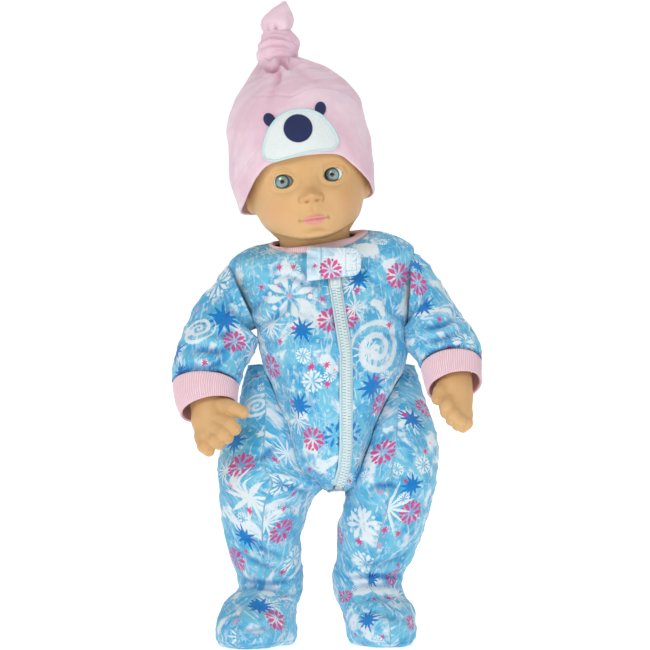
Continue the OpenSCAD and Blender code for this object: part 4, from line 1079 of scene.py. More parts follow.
TAB_MOTIFS = [
    ("white_flake", [(12, 259, 14, 0.3)]),
    ("pink_petal", [(3.5, 251.5, 8.2, 0.2)]),
    ("white_petal", [(18, 256, 8, 0.1)]),
]


def placed_motifs(motifs, grid, normals, cloth, near=4.0):
    """Turns motif places seen from the front into places on the cloth; far ones are left out."""
    placed = []
    for kind, places in motifs:
        for x, z, radius, turn in places:
            u, v, gap = nearest_on_front(grid, normals, cloth, x, z)
            if gap < near + radius * 0.75:
                placed.append((kind, u, v, radius, turn))
    return placed


def fleece_surface(grid, normals, folds, seed, swell, wrinkle):
    """Adds folds, soft unevenness and fine tufts to a cloth grid, and returns the painted shade of its folds
    and of the wrinkles at the back.
    """
    lift, shade = creases(grid, folds, front_share(normals))
    back = 1 - front_share(normals)
    long_lumps = bumps(grid, (16, 16, 22), seed)
    ridges = 1 - np.abs(bumps(grid, (15, 15, 8), seed + 5)) * 2
    lift = lift + swell * long_lumps + wrinkle * ridges * (0.35 + 0.65 * back)
    lift = lift + 0.16 * bumps(grid, 1.9, seed + 9)
    shade = np.clip(shade + 0.25 * np.clip(-ridges, 0, 1) * back, 0, 1)
    return grid + normals * lift[..., None], shade


# ---------------------------------------------------------------- sleeper body
ZIP_GAP = 3.5                   # from the middle of the zip to each cloth edge
BODY_SEED = 11


def torso_panel(name, start, end, columns, motifs, zip_column, first_row):
    """One cut piece of the sleeper's body between two angles on every row."""
    rows = TORSO_ROWS[first_row:]
    start = np.broadcast_to(start, TORSO_ROWS.shape[:1])[first_row:]
    end = np.broadcast_to(end, TORSO_ROWS.shape[:1])[first_row:]
    t = np.linspace(0, 1, columns)[None, :]
    angles = start[:, None] * (1 - t) + end[:, None] * t
    grid = inside_armholes(ring_grid(rows, angles), 0.4)
    normals = grid_normals(grid, False)
    walk = run_length(grid, 1)
    walk = walk - walk[:, -1:] if zip_column == -1 else walk
    middle = np.interp(rows[:, 0], *zip(*ZIP_X))[:, None]
    cloth = np.stack([walk + middle, run_length(grid, 0) + rows[0, 0], np.zeros_like(walk)], axis=-1)
    placed = placed_motifs(motifs, grid, normals, cloth)
    shaped, shade = fleece_surface(grid, normals, BODY_FOLDS, BODY_SEED, 0.7, 0.5)
    along_zip = bell(walk, 9.0) if zip_column is not None else 0
    ripple = np.sin(shaped[..., 2] * 2 * math.pi / 17 + BODY_SEED)
    shaped = shaped + normals * (0.5 * along_zip * ripple)[..., None]
    shaped = edge_roll(shaped, normals, (0, -1), 1.5)
    side = np.minimum(run_length(grid, 1), run_length(grid[:, ::-1], 1)[:, ::-1])
    # painted shade along the rolled hems at the zip and side edges, added to the fold and wrinkle shade
    cloth[..., 2] = np.clip(shade + 0.5 * bell(side, 1.3), 0, 1)
    piece = shell_piece(name, shaped, 1.9, False, cloth)
    return finish_piece(piece, fleece_material(name + "_print", placed), "torso", "fleece_print", name)


def add_sleeper_body():
    """Two front panels that meet the zip, and one back panel."""
    left_edge = zip_edge_angle(TORSO_ROWS, ZIP_GAP)
    right_edge = zip_edge_angle(TORSO_ROWS, -ZIP_GAP)
    side_right, side_left = math.radians(180.0), math.radians(360.0)
    torso_panel("sleeper_front_right", side_right, right_edge, 120, BODY_MOTIFS, -1, 4)
    torso_panel("sleeper_front_left", left_edge, side_left, 110, BODY_MOTIFS, 0, 4)
    torso_panel("sleeper_back", 0.0, math.radians(180.0), 170, [], None, 0)


# ---------------------------------------------------------------- legs
LEG_COLUMNS = 180
LEG_FRONT = LEG_COLUMNS * 3 // 4    # the column that faces -Y
THIGH_FROM = 77.2                   # height of the seam between bootie and thigh
SOLE_SEAM = 3.0                     # height of the seam round the sole


def hug_torso(grid, clear=0.35):
    """Pushes points that would lie inside the torso out to its surface."""
    z = grid[..., 2]
    cx, cy, rx, ry = oval_at(TORSO_ROWS, z)
    dx, dy = grid[..., 0] - cx, grid[..., 1] - cy
    size = np.sqrt((dx / (rx + clear)) ** 2 + (dy / (ry + clear)) ** 2)
    out = grid.copy()
    inside = (size < 1) & (z > 101)
    scale = np.where(inside, 1 / np.maximum(size, 0.25), 1.0)
    out[..., 0] = cx + dx * scale
    out[..., 1] = cy + dy * scale
    return np.where(inside[..., None], out, grid)


def leg_grid(leg, thigh, side):
    """One grid for the whole trouser leg, and the rows of rings it is drawn from."""
    full = [list(row) + [0] * (8 - len(row)) for row in leg + thigh[1:]]
    wide = []
    for z, cx, cy, rx, ry, *rest in full:
        torso_x, _, torso_wide, _ = oval_at(TORSO_ROWS, z)
        edge = torso_x + side * torso_wide
        inner = cx - side * rx
        reach = max(0.0, side * (inner - edge)) + 11.0 if z > 104 else 0.0
        if 88 < z <= 104:
            reach = 3.0
        wide.append([z, cx - side * reach / 2, cy, rx + reach / 2, ry] + rest)
    rows = smooth_rows(wide, 250, [1, 1, 1, 0.8, 0.8, 0.1, 0.1, 0.1])
    angles = circle(LEG_COLUMNS)[None, :]
    grid = ring_grid(rows, angles)
    grid[..., 2] = np.maximum(grid[..., 2], 0.0)
    return rows, grid


def add_leg(side, leg, thigh, folds, motifs, seed):
    """One trouser leg: the bootie rides on the leg, and the thigh runs between torso and leg."""
    word = side_word(side)
    rows, grid = leg_grid(leg, thigh, side)
    grid = hug_torso(grid)
    normals = grid_normals(grid, True)
    around = measured_from(grid, LEG_FRONT)
    walk = run_length(grid, 0)
    cloth = np.stack([around + rows[:, 1][:, None], walk, np.zeros_like(walk)], axis=-1)
    placed = placed_motifs(motifs, grid, normals, cloth)
    shaped, shade = fleece_surface(grid, normals, folds, seed, 0.8, 0.7)
    shaped = hug_torso(shaped, 0.5)
    shaped[..., 2] = np.maximum(shaped[..., 2], 0.0)
    sole = bell(rows[:, 0] - SOLE_SEAM, 1.1)[:, None]
    shaped = shaped - normals * (0.7 * sole)[..., None]
    shaped[..., 2] = np.maximum(shaped[..., 2], 0.0)
    # painted shade in the sole seam, added to the fold and wrinkle shade
    cloth[..., 2] = np.clip(shade + 0.5 * sole, 0, 1)
    split = int(np.searchsorted(rows[:, 0], THIGH_FROM))
    true_normals = grid_normals(shaped, True)
    material = fleece_material("leg_" + word + "_print", placed)
    count = grid.shape[1]

    foot = shaped[: split + 1]
    verts = np.concatenate([foot.reshape(-1, 3), foot[:1].mean(axis=1)])
    hub = len(verts) - 1
    ring = np.arange(count)
    base = np.stack([np.full(count, hub), np.roll(ring, -1), ring], axis=-1)
    faces = [list(f) for f in grid_faces(split + 1, count, True)] + [list(f) for f in base]
    weave = np.concatenate([cloth[: split + 1].reshape(-1, 3), cloth[:1, :1].reshape(1, 3)])
    normal = np.concatenate([true_normals[: split + 1].reshape(-1, 3), [[0, 0, -1]]])
    normal[:count] = (0, 0, -1)
    bootie = make_piece("bootie_" + word, verts, faces, {"cloth": weave}, normal)
    finish_piece(bootie, material, "leg_" + word, "fleece_print", "bootie_" + word)

    upper = shaped[split:]
    top = upper[-1:].mean(axis=1) + [[0, 0, 1.0]]
    verts = np.concatenate([upper.reshape(-1, 3), top])
    hub = len(verts) - 1
    last = (len(upper) - 1) * count + ring
    cap = np.stack([np.full(count, hub), last, np.roll(last, -1)], axis=-1)
    faces = [list(f) for f in grid_faces(len(upper), count, True)] + [list(f) for f in cap]
    weave = np.concatenate([cloth[split:].reshape(-1, 3), cloth[-1:, :1].reshape(1, 3)])
    normal = np.concatenate([true_normals[split:].reshape(-1, 3), [[0, 0, 1]]])
    piece = make_piece("thigh_" + word, verts, faces, {"cloth": weave}, normal)
    piece.data.materials.append(material)
    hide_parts("thigh_" + word)
    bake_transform(piece)


# ---------------------------------------------------------------- sleeves, cuffs and collar
def add_sleeve(side, table, folds, motifs, seed):
    """A puffed sleeve, held at the armhole seam and gathered into its cuff."""
    word = side_word(side)
    rows = limb_rows(table, 120)
    angles = circle(170)
    grid = limb_grid(rows, angles)
    normals = grid_normals(grid, True)
    walk = run_length(grid, 0).mean(axis=1, keepdims=True) * np.ones((1, len(angles)))
    front = int(round(len(angles) * 0.75))
    around = measured_from(grid, front - len(angles) // 2)
    cloth = np.stack([around, walk, np.zeros_like(walk)], axis=-1)
    placed = placed_motifs(motifs, grid, normals, cloth, 5.0)
    length = walk[-1, 0]
    swell = 0.7 * smooth_step(length - walk, 0, 8) - 0.4 - 2.2 * bell(walk - 12.0, 10.0)
    shaped, shade = fleece_surface(grid + normals * swell[..., None], normals, folds, seed, 0.8, 0.9)
    held = smooth_step(walk, 0, 4)[..., None]
    shaped = shaped * held + (grid - normals * 0.4) * (1 - held)
    gather = bell(length - walk, 5.0) * np.sin(angles * 26 + 2 * np.sin(angles * 3))[None, :]
    shaped = shaped + normals * (0.45 * gather)[..., None]
    seam = bell(walk, 1.4) + bell(length - walk, 1.4)
    # painted shade at the armhole and cuff seams, added to the fold and wrinkle shade
    cloth[..., 2] = np.clip(shade + 0.7 * seam, 0, 1)
    name = "sleeve_" + word
    piece = shell_piece(name, shaped, 1.9, True, cloth)
    finish_piece(piece, fleece_material(name + "_print", placed), "arm_" + word, "fleece_print", name)


CUFF_RIBS, COLLAR_RIBS, POINTS_PER_RIB = 84, 132, 7


def rib_band(name, grid, ribs, wall, body, depth=0.42, roll=1.3):
    """A folded band of rib knit: ribs run across it, and both edges turn in."""
    normals = grid_normals(grid, True)
    walk = run_length(grid, 0)
    length = walk[-1:, :]
    middle = np.clip(np.minimum(walk, length - walk) / roll, 0, 1)
    turn = ribs * circle(grid.shape[1])[None, :]
    wander = 0.7 * bumps(np.stack([turn / 9 + 0 * walk, walk / 6, 0 * walk], -1), 1.0, 4)
    ribbing = 0.5 + 0.5 * np.cos(turn + wander)
    lift = depth * (ribbing ** 0.7 - 0.5) - 0.9 * (1 - np.sqrt(1 - (1 - middle) ** 2 * 0.98))
    soft = 0.35 * bumps(grid, 7.0, 21)
    shaped = grid + normals * (lift + soft)[..., None]
    around = run_length(grid, 1)
    # the third channel is painted light on the rib tops and painted shade in the grooves and at the turned-in
    # edges
    cloth = np.stack([around, walk, np.clip(ribbing - 0.25 * (1 - middle), 0, 1)], axis=-1)
    piece = shell_piece(name, shaped, wall, True, cloth)
    return finish_piece(piece, MATERIALS["rib"], body, "rib_knit", name)


def add_cuff(side, table):
    word = side_word(side)
    grid = limb_grid(limb_rows(table, 30), circle(CUFF_RIBS * POINTS_PER_RIB))
    rib_band("cuff_" + word, grid, CUFF_RIBS, 1.5, "arm_" + word)


def add_collar():
    grid = ring_grid(smooth_rows(COLLAR, 18), circle(COLLAR_RIBS * POINTS_PER_RIB)[None, :])
    rib_band("collar_rib", grid, COLLAR_RIBS, 1.7, "torso", 0.34, 1.2)


# ---------------------------------------------------------------- zip and tab
def front_point(x, z, lift=0.0):
    """A point over the front of the torso at x, z, moved out by lift."""
    cx, cy, rx, ry = oval_at(TORSO_ROWS, z)
    share = np.clip((x - cx) / rx, -0.98, 0.98)
    return np.stack([x + 0 * z, cy - ry * np.sqrt(1 - share * share) - lift, z + 0 * x], axis=-1)


def zip_middle(z):
    return np.interp(z, *zip(*ZIP_X))


def box_mesh(bm, centre, across, up, out, sizes, bevel=0.25):
    """A bevelled block in bm, centred and turned to three unit directions."""
    made = bmesh.ops.create_cube(bm, size=1.0)
    verts = made["verts"]
    for vert in verts:
        local = vert.co.copy()
        vert.co = (Vector(centre) + Vector(across) * local.x * sizes[0] + Vector(up) * local.y * sizes[1]
                   + Vector(out) * local.z * sizes[2]) * MM
    for face in {f for v in verts for f in v.link_faces}:
        face.normal_update()
    edges = list({e for v in verts for e in v.link_edges})
    bmesh.ops.bevel(bm, geom=edges, offset=bevel * MM, segments=2, affect="EDGES", profile=0.6)


def piece_from_bmesh(name, bm):
    mesh = bpy.data.meshes.new(name)
    bm.to_mesh(mesh)
    bm.free()
    for polygon in mesh.polygons:
        polygon.use_smooth = True
    piece = bpy.data.objects.new(name, mesh)
    bpy.context.scene.collection.objects.link(piece)
    return piece


def zip_frame(z):
    """Point, across, down-the-zip and outward directions at height z."""
    here = front_point(np.array(zip_middle(z)), np.array(float(z)))
    there = front_point(np.array(zip_middle(z + 1.0)), np.array(z + 1.0))
    up = Vector((there - here).tolist()).normalized()
    side = front_point(np.array(zip_middle(z) + 1.0), np.array(float(z)))
    across = Vector((side - here).tolist()).normalized()
    out = up.cross(across).normalized()
    out = -out if out.y > 0 else out
    return Vector(here.tolist()), up.cross(out).normalized(), up, out


SLIDER_HEIGHT = 242.6


def add_zip():
    """Two rows of teeth on a corded tape, and a square-ringed slider at the top."""
    pitch, z_low, z_top = 1.9, 108.0, 242.5
    for word, side, start in (("left", 1, 0.0), ("right", -1, pitch / 2)):
        bm = bmesh.new()
        z = z_low + start
        while z < z_top:
            here, across, up, out = zip_frame(z)
            base = here + across * side * 1.6 + out * 0.9
            box_mesh(bm, base, across, up, out, (2.1, 1.5, 2.2), 0.3)
            head = here + across * side * 0.5 + out * 1.0
            box_mesh(bm, head, across, up, out, (1.7, 1.7, 2.0), 0.36)
            z += pitch
        piece = piece_from_bmesh("zip_teeth_" + word, bm)
        finish_piece(piece, MATERIALS["zip"], "torso", "zip_resin", "zip_teeth_" + word)

    heights = np.linspace(z_low - 1, z_top + 6, 200)[:, None]
    shift = np.linspace(-4.4, 4.4, 41)[None, :]
    x = zip_middle(heights) + shift
    grid = front_point(x, heights * np.ones_like(shift), 0.35)
    cord = bell(np.abs(shift) - 3.4, 0.5)
    grid = grid + np.array([0, -1, 0]) * (0.5 * cord)[..., None]
    cloth = np.stack([shift + 0 * heights, heights + 0 * shift, 0 * x], axis=-1)
    tape = shell_piece("zip_tape", grid, 0.6, False, cloth)
    finish_piece(tape, MATERIALS["zip_tape"], "torso", "zip_tape", "zip_tape")

    bm = bmesh.new()
    here, across, up, out = zip_frame(SLIDER_HEIGHT)
    middle = here + out * 2.4
    box_mesh(bm, middle, across, up, out, (6.6, 8.2, 1.2), 0.5)
    for side in (-1, 1):
        box_mesh(bm, middle + across * side * 2.75 + out * 0.75, across, up, out, (1.1, 6.4, 1.1), 0.4)
    box_mesh(bm, middle + up * 3.4 + out * 0.75, across, up, out, (6.2, 1.2, 1.1), 0.4)
    box_mesh(bm, middle - up * 3.4 + out * 0.75, across, up, out, (6.2, 1.2, 1.1), 0.4)
    box_mesh(bm, middle + out * 0.8, across, up, out, (2.4, 3.4, 0.9), 0.4)
    slider = piece_from_bmesh("zip_slider", bm)
    finish_piece(slider, MATERIALS["zip"], "slider", "zip_resin", "zip_slider")


FLAP = [[246.4, -2, -1, 60, 37.5], [251, -2, -1, 60, 38], [258, -2, -1, 60, 37.8], [264.2, -2, -1, 60, 36.6]]


def add_flap():
    """Fleece tab over the zip: puckered root, puffed middle, rounded end with a box of stitching."""
    rows, cols = 60, 120
    t = np.linspace(0, 1, cols)[None, :]
    s = np.linspace(0, 1, rows)[:, None]
    start, end = math.radians(260.6), math.radians(295.6)
    low = 243.8 + 4.2 * t
    high = 266.6 - 0.8 * t
    corner = np.sqrt(np.clip(1 - ((t - 0.84) / 0.16).clip(0, 1) ** 2, 0.0, 1))
    middle = (low + high) / 2
    half = (high - low) / 2 * (0.35 + 0.65 * corner)
    z = middle + (2 * s - 1) * half
    cy = -1 + 0 * z
    ry = np.interp(z, [r[0] for r in FLAP], [r[4] for r in FLAP])
    angle = start + (end - start) * t
    grid = np.stack([-2 + 60 * np.cos(angle) + 0 * z, cy + ry * np.sin(angle), z], axis=-1)
    normals = grid_normals(grid, False)
    x = grid[..., 0]
    edge = np.minimum(1 - np.abs(2 * s - 1), 1.0) * half
    edge = np.minimum(edge, (1 - t) * 32)
    puff = 1.7 * np.sqrt(np.clip(edge / 3.2, 0, 1)) + 0.5 * bumps(grid, 6.0, 31)
    box = np.maximum(np.abs((t - 0.80) / 0.10), np.abs((2 * s - 1) / 0.6))
    seam = bell(box - 1.0, 0.10)
    pucker = smooth_step(t, 0.27, 0.08) * np.sin((z + 3 * t) * 2 * math.pi / 6.4)
    root_seam = bell(t - 0.255, 0.017)
    lift = puff - 0.8 * seam - 1.1 * root_seam + 0.9 * pucker + 0.14 * bumps(grid, 1.9, 33)
    shaped = grid + normals * lift[..., None]
    # painted shade in the box stitching, the root seam and the pucker hollows
    shade = np.clip(0.5 * seam + 0.6 * root_seam + 0.35 * np.clip(-pucker, 0, 1), 0, 1)
    cloth = np.stack([x, z, shade], axis=-1)
    placed = placed_motifs(TAB_MOTIFS, grid, normals, cloth)
    piece = shell_piece("tab_flap", shaped, 1.6, False, cloth)
    finish_piece(piece, fleece_material("tab_print", placed, 0.55), "flap", "fleece_print", "tab_flap")


add_sleeper_body()
add_leg(-1, LEG_RIGHT, THIGH_RIGHT, THIGH_FOLDS_RIGHT, RIGHT_LEG_MOTIFS, 41)
add_leg(1, LEG_LEFT, THIGH_LEFT, THIGH_FOLDS_LEFT, LEFT_LEG_MOTIFS, 57)
add_sleeve(-1, SLEEVE_RIGHT, SLEEVE_FOLDS_RIGHT, RIGHT_SLEEVE_MOTIFS, 71)
add_sleeve(1, SLEEVE_LEFT, SLEEVE_FOLDS_LEFT, LEFT_SLEEVE_MOTIFS, 83)
add_cuff(-1, CUFF_RIGHT)
add_cuff(1, CUFF_LEFT)
add_collar()
add_zip()
add_flap()


# ---------------------------------------------------------------- head
NECK_BASE = np.array([-5.7, 2.0, 262.0])
HEAD_TILT = math.radians(-8.2)
FACE_TURN = math.radians(2.5)
EYE_X, EYE_Y, EYE_Z = 16.75, -31.0, 50.3
HEAD = [
    [1.5, 0, -6, 21, 30], [8, 0, -6.4, 23.2, 33.6], [12.4, 0, -6.4, 25.4, 36.4],
    [16, 0, -6, 27.8, 38.4], [22, 0, -4.8, 32.3, 40.4], [30, 0, -2.4, 35.9, 42.8], [44, 0, -0.2, 40.3, 46.6],
    [57, 0, 1, 43.2, 48.6], [68, 0, 1, 44, 49], [80, 0, 1, 43.0, 48.6], [92, 0, 1, 39.6, 45.2],
    [102, 0, 1, 32.6, 38], [110, 0, 1, 22.6, 27.6], [114.5, 0, 1, 12, 15], [116, 0, 1, 2, 2.5],
]


NECK_RADIUS = 23.6
CHIN_HEIGHT, CHIN_ROUND = 9.0, 2.4      # lowest point of the jaw line, and how soon it turns under
NAPE_HEIGHT, NAPE_ROUND = 16.0, 8.0


def tuck_chin(grid, angles):
    """Draws the rings in to the round neck below the jaw line, which rises from the chin to the ears."""
    front = smooth_step(-np.sin(angles), -0.2, 0.4)
    jaw_line = CHIN_HEIGHT + 0.0088 * grid[..., 0] ** 2
    depth = jaw_line + CHIN_ROUND - grid[..., 2]
    under = (front * smooth_step(depth, 0, CHIN_ROUND)
             + (1 - front) * smooth_step(NAPE_HEIGHT - grid[..., 2], 0, NAPE_ROUND))
    neck = np.stack([NECK_RADIUS * np.cos(angles) + 0 * depth, NECK_RADIUS * np.sin(angles) + 0 * depth,
                     grid[..., 2]], axis=-1)
    return grid + (neck - grid) * under[..., None]


def turned(points, about_y, about_z):
    """Rotates by about_z, then by about_y."""
    p = np.asarray(points, float)
    cz, sz, cy, sy = math.cos(about_z), math.sin(about_z), math.cos(about_y), math.sin(about_y)
    x, y = p[..., 0] * cz - p[..., 1] * sz, p[..., 0] * sz + p[..., 1] * cz
    z = p[..., 2]
    return np.stack([x * cy + z * sy, y, -x * sy + z * cy], axis=-1)


def from_face(points):
    """From the face's own frame to the row frame."""
    return turned(points, HEAD_TILT, FACE_TURN) + NECK_BASE


def spot(x, z, cx, cz, wide, tall):
    return np.exp(-(((x - cx) / wide) ** 2) - (((z - cz) / tall) ** 2))


def both(x, z, cx, cz, wide, tall):
    return spot(np.abs(x), z, cx, cz, wide, tall)


def face_relief(x, z):
    """How far the front of the head stands out over its plain oval, in the face's frame."""
    out = 0.8 * spot(x, z, 0, 72, 30, 12)
    out += 2.2 * both(x, z, 22, 31, 12, 10)
    out += 0.8 * both(x, z, 14, 60, 12, 5)
    out -= 2.2 * both(x, z, 15.5, 49.5, 10, 7)
    out += 1.9 * spot(x, z, 0, 50, 8.0, 11)
    out += 2.8 * spot(x, z, 0, 41, 7.5, 6.5)
    out += 6.4 * spot(x, z, 0, 38.9, 4.3, 3.9)
    out += 3.1 * both(x, z, 5.0, 37.3, 2.4, 2.6)
    out -= 1.2 * np.exp(-((np.hypot(np.abs(x) - 5.0, z - 37.3) - 3.4) / 0.75) ** 2) * (
        smooth_step(np.abs(x), 5.4, 7.4) * smooth_step(z, 33.0, 35.5) * smooth_step(z, 41.0, 38.8))
    out -= 2.3 * both(x, z, 3.5, 35.3, 1.7, 0.85)
    out -= 0.9 * spot(x, z, 0, 30.6, 1.5, 2.4)
    out += 2.6 * spot(x, z, 0, 25, 13, 7.5)
    share = np.clip(1 - (x / 7.2) ** 2, 0, 1)
    upper = 23.3 + 2.5 * np.sqrt(share) - 0.55 * np.exp(-((x / 1.5) ** 2))
    out += 1.25 * np.exp(-(((z - upper + 1.1) / 1.35) ** 2)) * spot(x, z, 0, 23, 6.4, 6)
    out += 1.5 * np.exp(-(((z - 20.9) / 1.6) ** 2)) * spot(x, z, 0, 21, 5.6, 6)
    out -= 1.5 * np.exp(-(((z - mouth_line(x)) / 0.5) ** 2)) * np.exp(-((x / 8.6) ** 6))
    out -= 1.3 * both(x, z, 9.9, 23.2, 1.2, 1.4)
    out -= 1.7 * np.exp(-(((z - 16.4 + 0.02 * x * x) / 1.5) ** 2)) * spot(x, z, 0, 17, 8.5, 20)
    out += 1.8 * spot(x, z, 0, 12.8, 9, 3.2)
    return out


def mouth_line(x):
    """Height of the line between the lips."""
    return 23.0 + 0.4 * np.exp(-((x / 1.7) ** 2)) - 0.012 * x * x + 0.0075 * np.abs(x) ** 2.3


def face_paint(x, z):
    """Lip and blush masks on the front of the face, and a mask of painted shade in its creases, dimples and
    nostrils.
    """
    w = np.sqrt(np.clip(1 - (x / 7.3) ** 2, 0, 1))
    top = 23.1 + 3.0 * w ** 0.9 - 0.75 * np.exp(-((x / 1.5) ** 2))
    low = 23.1 - 3.7 * w ** 0.8
    lip = np.clip(0.5 + np.minimum(top - z, z - low) / 1.3, 0, 1) * (np.abs(x) < 7.4)
    blush = 0.75 * both(x, z, 24, 30, 10, 9) + 0.3 * spot(x, z, 0, 39, 5, 4)
    wing = np.hypot(np.abs(x) - 5.0, z - 37.3)
    # painted shade in the nostrils, mouth corners, mouth line, nose wings and chin crease
    recess_shade = 0.95 * both(x, z, 3.6, 35.2, 1.5, 0.8) + 0.55 * both(x, z, 9.9, 23.2, 1.0, 1.0)
    recess_shade = recess_shade + 0.62 * np.exp(-(((z - mouth_line(x)) / 0.42) ** 2)) * np.exp(-((x / 9.3) ** 8))
    recess_shade = recess_shade + 0.28 * np.exp(-(((wing - 3.4) / 0.55) ** 2)) * (
        smooth_step(np.abs(x), 5.8, 7.6) * smooth_step(z, 33.0, 35.5) * smooth_step(z, 41.0, 38.8))
    recess_shade = recess_shade + 0.3 * np.exp(-(((z - 16.4 + 0.02 * x * x) / 1.3) ** 2)) * spot(x, z, 0, 17, 7.5, 20)
    return lip, blush, np.clip(recess_shade, 0, 0.79)


LID_HALF_WIDE, LID_RISE, LID_FALL, LID_REACH = 6.7, 4.9, 4.7, 13.0


def add_head():
    """Vinyl head: an oval of rings with relief, two lidded openings and moulded ears."""
    rows = smooth_rows(HEAD, 264, [1, 1, 1, 0.9, 0.9])
    rows = np.concatenate([rows, np.zeros((len(rows), 3))], axis=1)
    cols = 470
    t = np.arange(cols) / cols - 0.5
    angles = (1.5 * math.pi + 2 * math.pi * (0.6 * t + 1.6 * t ** 3))[None, :]
    grid = tuck_chin(ring_grid(rows, angles), angles)
    normals = grid_normals(grid, True)
    facing = smooth_step(-normals[..., 1], 0.05, 0.5)
    x, z = grid[..., 0], grid[..., 2]
    lip, blush, recess_shade = (part * facing for part in face_paint(x, z))
    relief = face_relief(x, z) * facing
    grid[..., 1] -= relief
    grid = grid + normals * (0.22 * bumps(grid, 18.0, 3))[..., None]

    ear_side = smooth_step(np.abs(normals[..., 0]), 0.75, 0.95)
    ey, ez = (grid[..., 1] - 2.0) / 5.6, (z - 41.0) / 9.0
    ear = np.sqrt(ey ** 2 + ez ** 2)
    rise = 3.9 * smooth_step(ear, 1.25, 0.8) - 2.4 * np.exp(-((ear - 0.08) / 0.42) ** 2)
    rise = rise - 0.9 * np.exp(-((ear - 0.72) / 0.12) ** 2) * (ez > -0.5)
    grid[..., 0] += np.sign(grid[..., 0]) * rise * ear_side
    # painted shade in the ear hollow
    recess_shade = np.maximum(recess_shade, 0.35 * np.exp(-((ear - 0.1) / 0.4) ** 2) * ear_side)

    eye_row = int(np.argmin(np.abs(rows[:, 0] - EYE_Z)))
    front = normals[..., 1] < -0.2
    spare = []
    for side in (-1, 1):
        dx = x[eye_row] - side * EYE_X
        open_cols = np.where((np.abs(dx) < LID_HALF_WIDE) & front[eye_row])[0]
        share = np.sqrt(np.clip(1 - ((x - side * EYE_X) / LID_HALF_WIDE) ** 2, 0, 1)) ** 1.05
        away = z - rows[eye_row, 0]
        fall = 1 - smooth_step(np.abs(away), 0, LID_REACH)
        shift = np.where(np.arange(len(rows))[:, None] >= eye_row, LID_RISE, -LID_FALL) * share * fall * front
        low = grid[eye_row, open_cols].copy()
        low[:, 2] -= LID_FALL * share[eye_row, open_cols]
        grid[..., 2] += shift
        ring = np.hypot((x - side * EYE_X) / LID_HALF_WIDE, (grid[..., 2] - rows[eye_row, 0]) / 4.9)
        lid = 0.75 * np.exp(-((ring - 1.14) / 0.16) ** 2) - 0.35 * np.exp(-((ring - 1.55) / 0.18) ** 2)
        grid[..., 1] -= lid * front
        low[:, 1] -= 0.75 * math.exp(-((1 - 1.14) / 0.16) ** 2)
        spare.append((open_cols, low))

    verts = [grid.reshape(-1, 3)]
    paint = [np.stack([lip, blush, recess_shade], axis=-1).reshape(-1, 3)]
    faces = grid_faces(len(rows), cols, True)
    swap = {}
    total = grid.shape[0] * cols
    rim_faces = []
    for side, (open_cols, low) in zip((-1, 1), spare):
        upper = eye_row * cols + open_cols
        lower = total + np.arange(len(open_cols))
        verts.append(low)
        # painted shade on the lower lid edge
        paint.append(np.tile([0.0, 0.0, 0.3], (len(low), 1)))
        total += len(low)
        for top, bottom in zip(upper, lower):
            swap[int(top)] = int(bottom)
        loop = np.concatenate([upper, lower[::-1]])
        points = np.concatenate([grid[eye_row, open_cols], low[::-1]])
        middle = np.array([side * EYE_X, 0, rows[eye_row, 0]])
        # rim rings inside each eye opening get painted shade, darker the deeper they sit
        for depth, scale, dark in ((0.55, 0.965, 0.35), (1.3, 0.975, 0.95), (3.4, 1.02, 1.0)):
            ring = (points - middle) * [scale, 1, scale] + middle + [0, depth, 0]
            index = total + np.arange(len(ring))
            rim_faces.append(bridge(loop, index, True))
            verts.append(ring)
            paint.append(np.tile([0.0, 0.0, dark], (len(ring), 1)))
            total += len(ring)
            loop = index
    below = faces[:, 2] // cols == eye_row
    face_list = []
    for quad, is_below in zip(faces.tolist(), below.tolist()):
        face_list.append([swap.get(v, v) if is_below and v // cols == eye_row else v for v in quad])
    for quads in rim_faces:
        face_list += quads.tolist()
    places = from_face(np.concatenate(verts))
    head = make_piece("head_shell", places, face_list, {"paint": np.concatenate(paint)})
    mend_mesh(head)
    finish_piece(head, MATERIALS["vinyl"], "head", "vinyl", "head_shell")


def add_eyeball(side):
    """An eyeball with a slight cornea; gaze holds each point's place across the eye."""
    rows, cols, radius = 90, 96, 9.5
    polar = np.linspace(0.0, math.pi, rows)[:, None]
    turn = circle(cols)[None, :]
    bulge = 0.35 * np.exp(-(polar / 0.55) ** 4)
    r = radius - 0.25 + bulge
    grid = np.stack([r * np.sin(polar) * np.cos(turn), -r * np.cos(polar) + 0 * turn,
                     r * np.sin(polar) * np.sin(turn)], axis=-1)
    look = np.stack([grid[..., 0] - (-0.7 if side > 0 else -0.6), grid[..., 2] - 0.1,
                     np.where(grid[..., 1] > 0, 1.0, 0.0)], axis=-1)
    look[..., :2] = np.where(grid[..., 1:2] > 0, 40.0, look[..., :2])
    place = grid + [side * EYE_X, EYE_Y, EYE_Z]
    faces = grid_faces(rows, cols, True)
    name = "eyeball_" + side_word(side)
    ball = make_piece(name, from_face(place), faces, {"gaze": look})
    mend_mesh(ball, 1e-5)
    finish_piece(ball, MATERIALS["eye"], "eye_" + side_word(side), "eye_plastic", name)


# ---------------------------------------------------------------- hat
HAT = [
    [26, -0.4, 1, 45.4, 51], [33, -0.7, 1, 45.8, 51.6], [40, -1.2, 1, 46.9, 52.4], [52, -1.8, 1, 48.4, 53.4],
    [60, -1.8, 1, 48.8, 53.8], [70, -1.0, 1, 48.2, 54], [80, -1.2, 1, 47.0, 53.2], [88, -1.6, 1, 46.5, 51.8],
    [98, -0.5, 1, 44.8, 48.8], [104, -0.4, 1, 42.1, 45.5], [110, -1.1, 1, 38.1, 41.5],
    [116, -1.9, 1.2, 32.2, 35],
    [122, -3.2, 1.5, 25.6, 26.5], [127, -5.2, 1.8, 18.8, 18.5], [131, -7.0, 2, 13.6, 12.6],
    [134, -8.0, 2, 11.2, 10],
]
HAT_ROWS = smooth_rows(HAT, 220, [1, 1, 1, 0.8, 0.8])
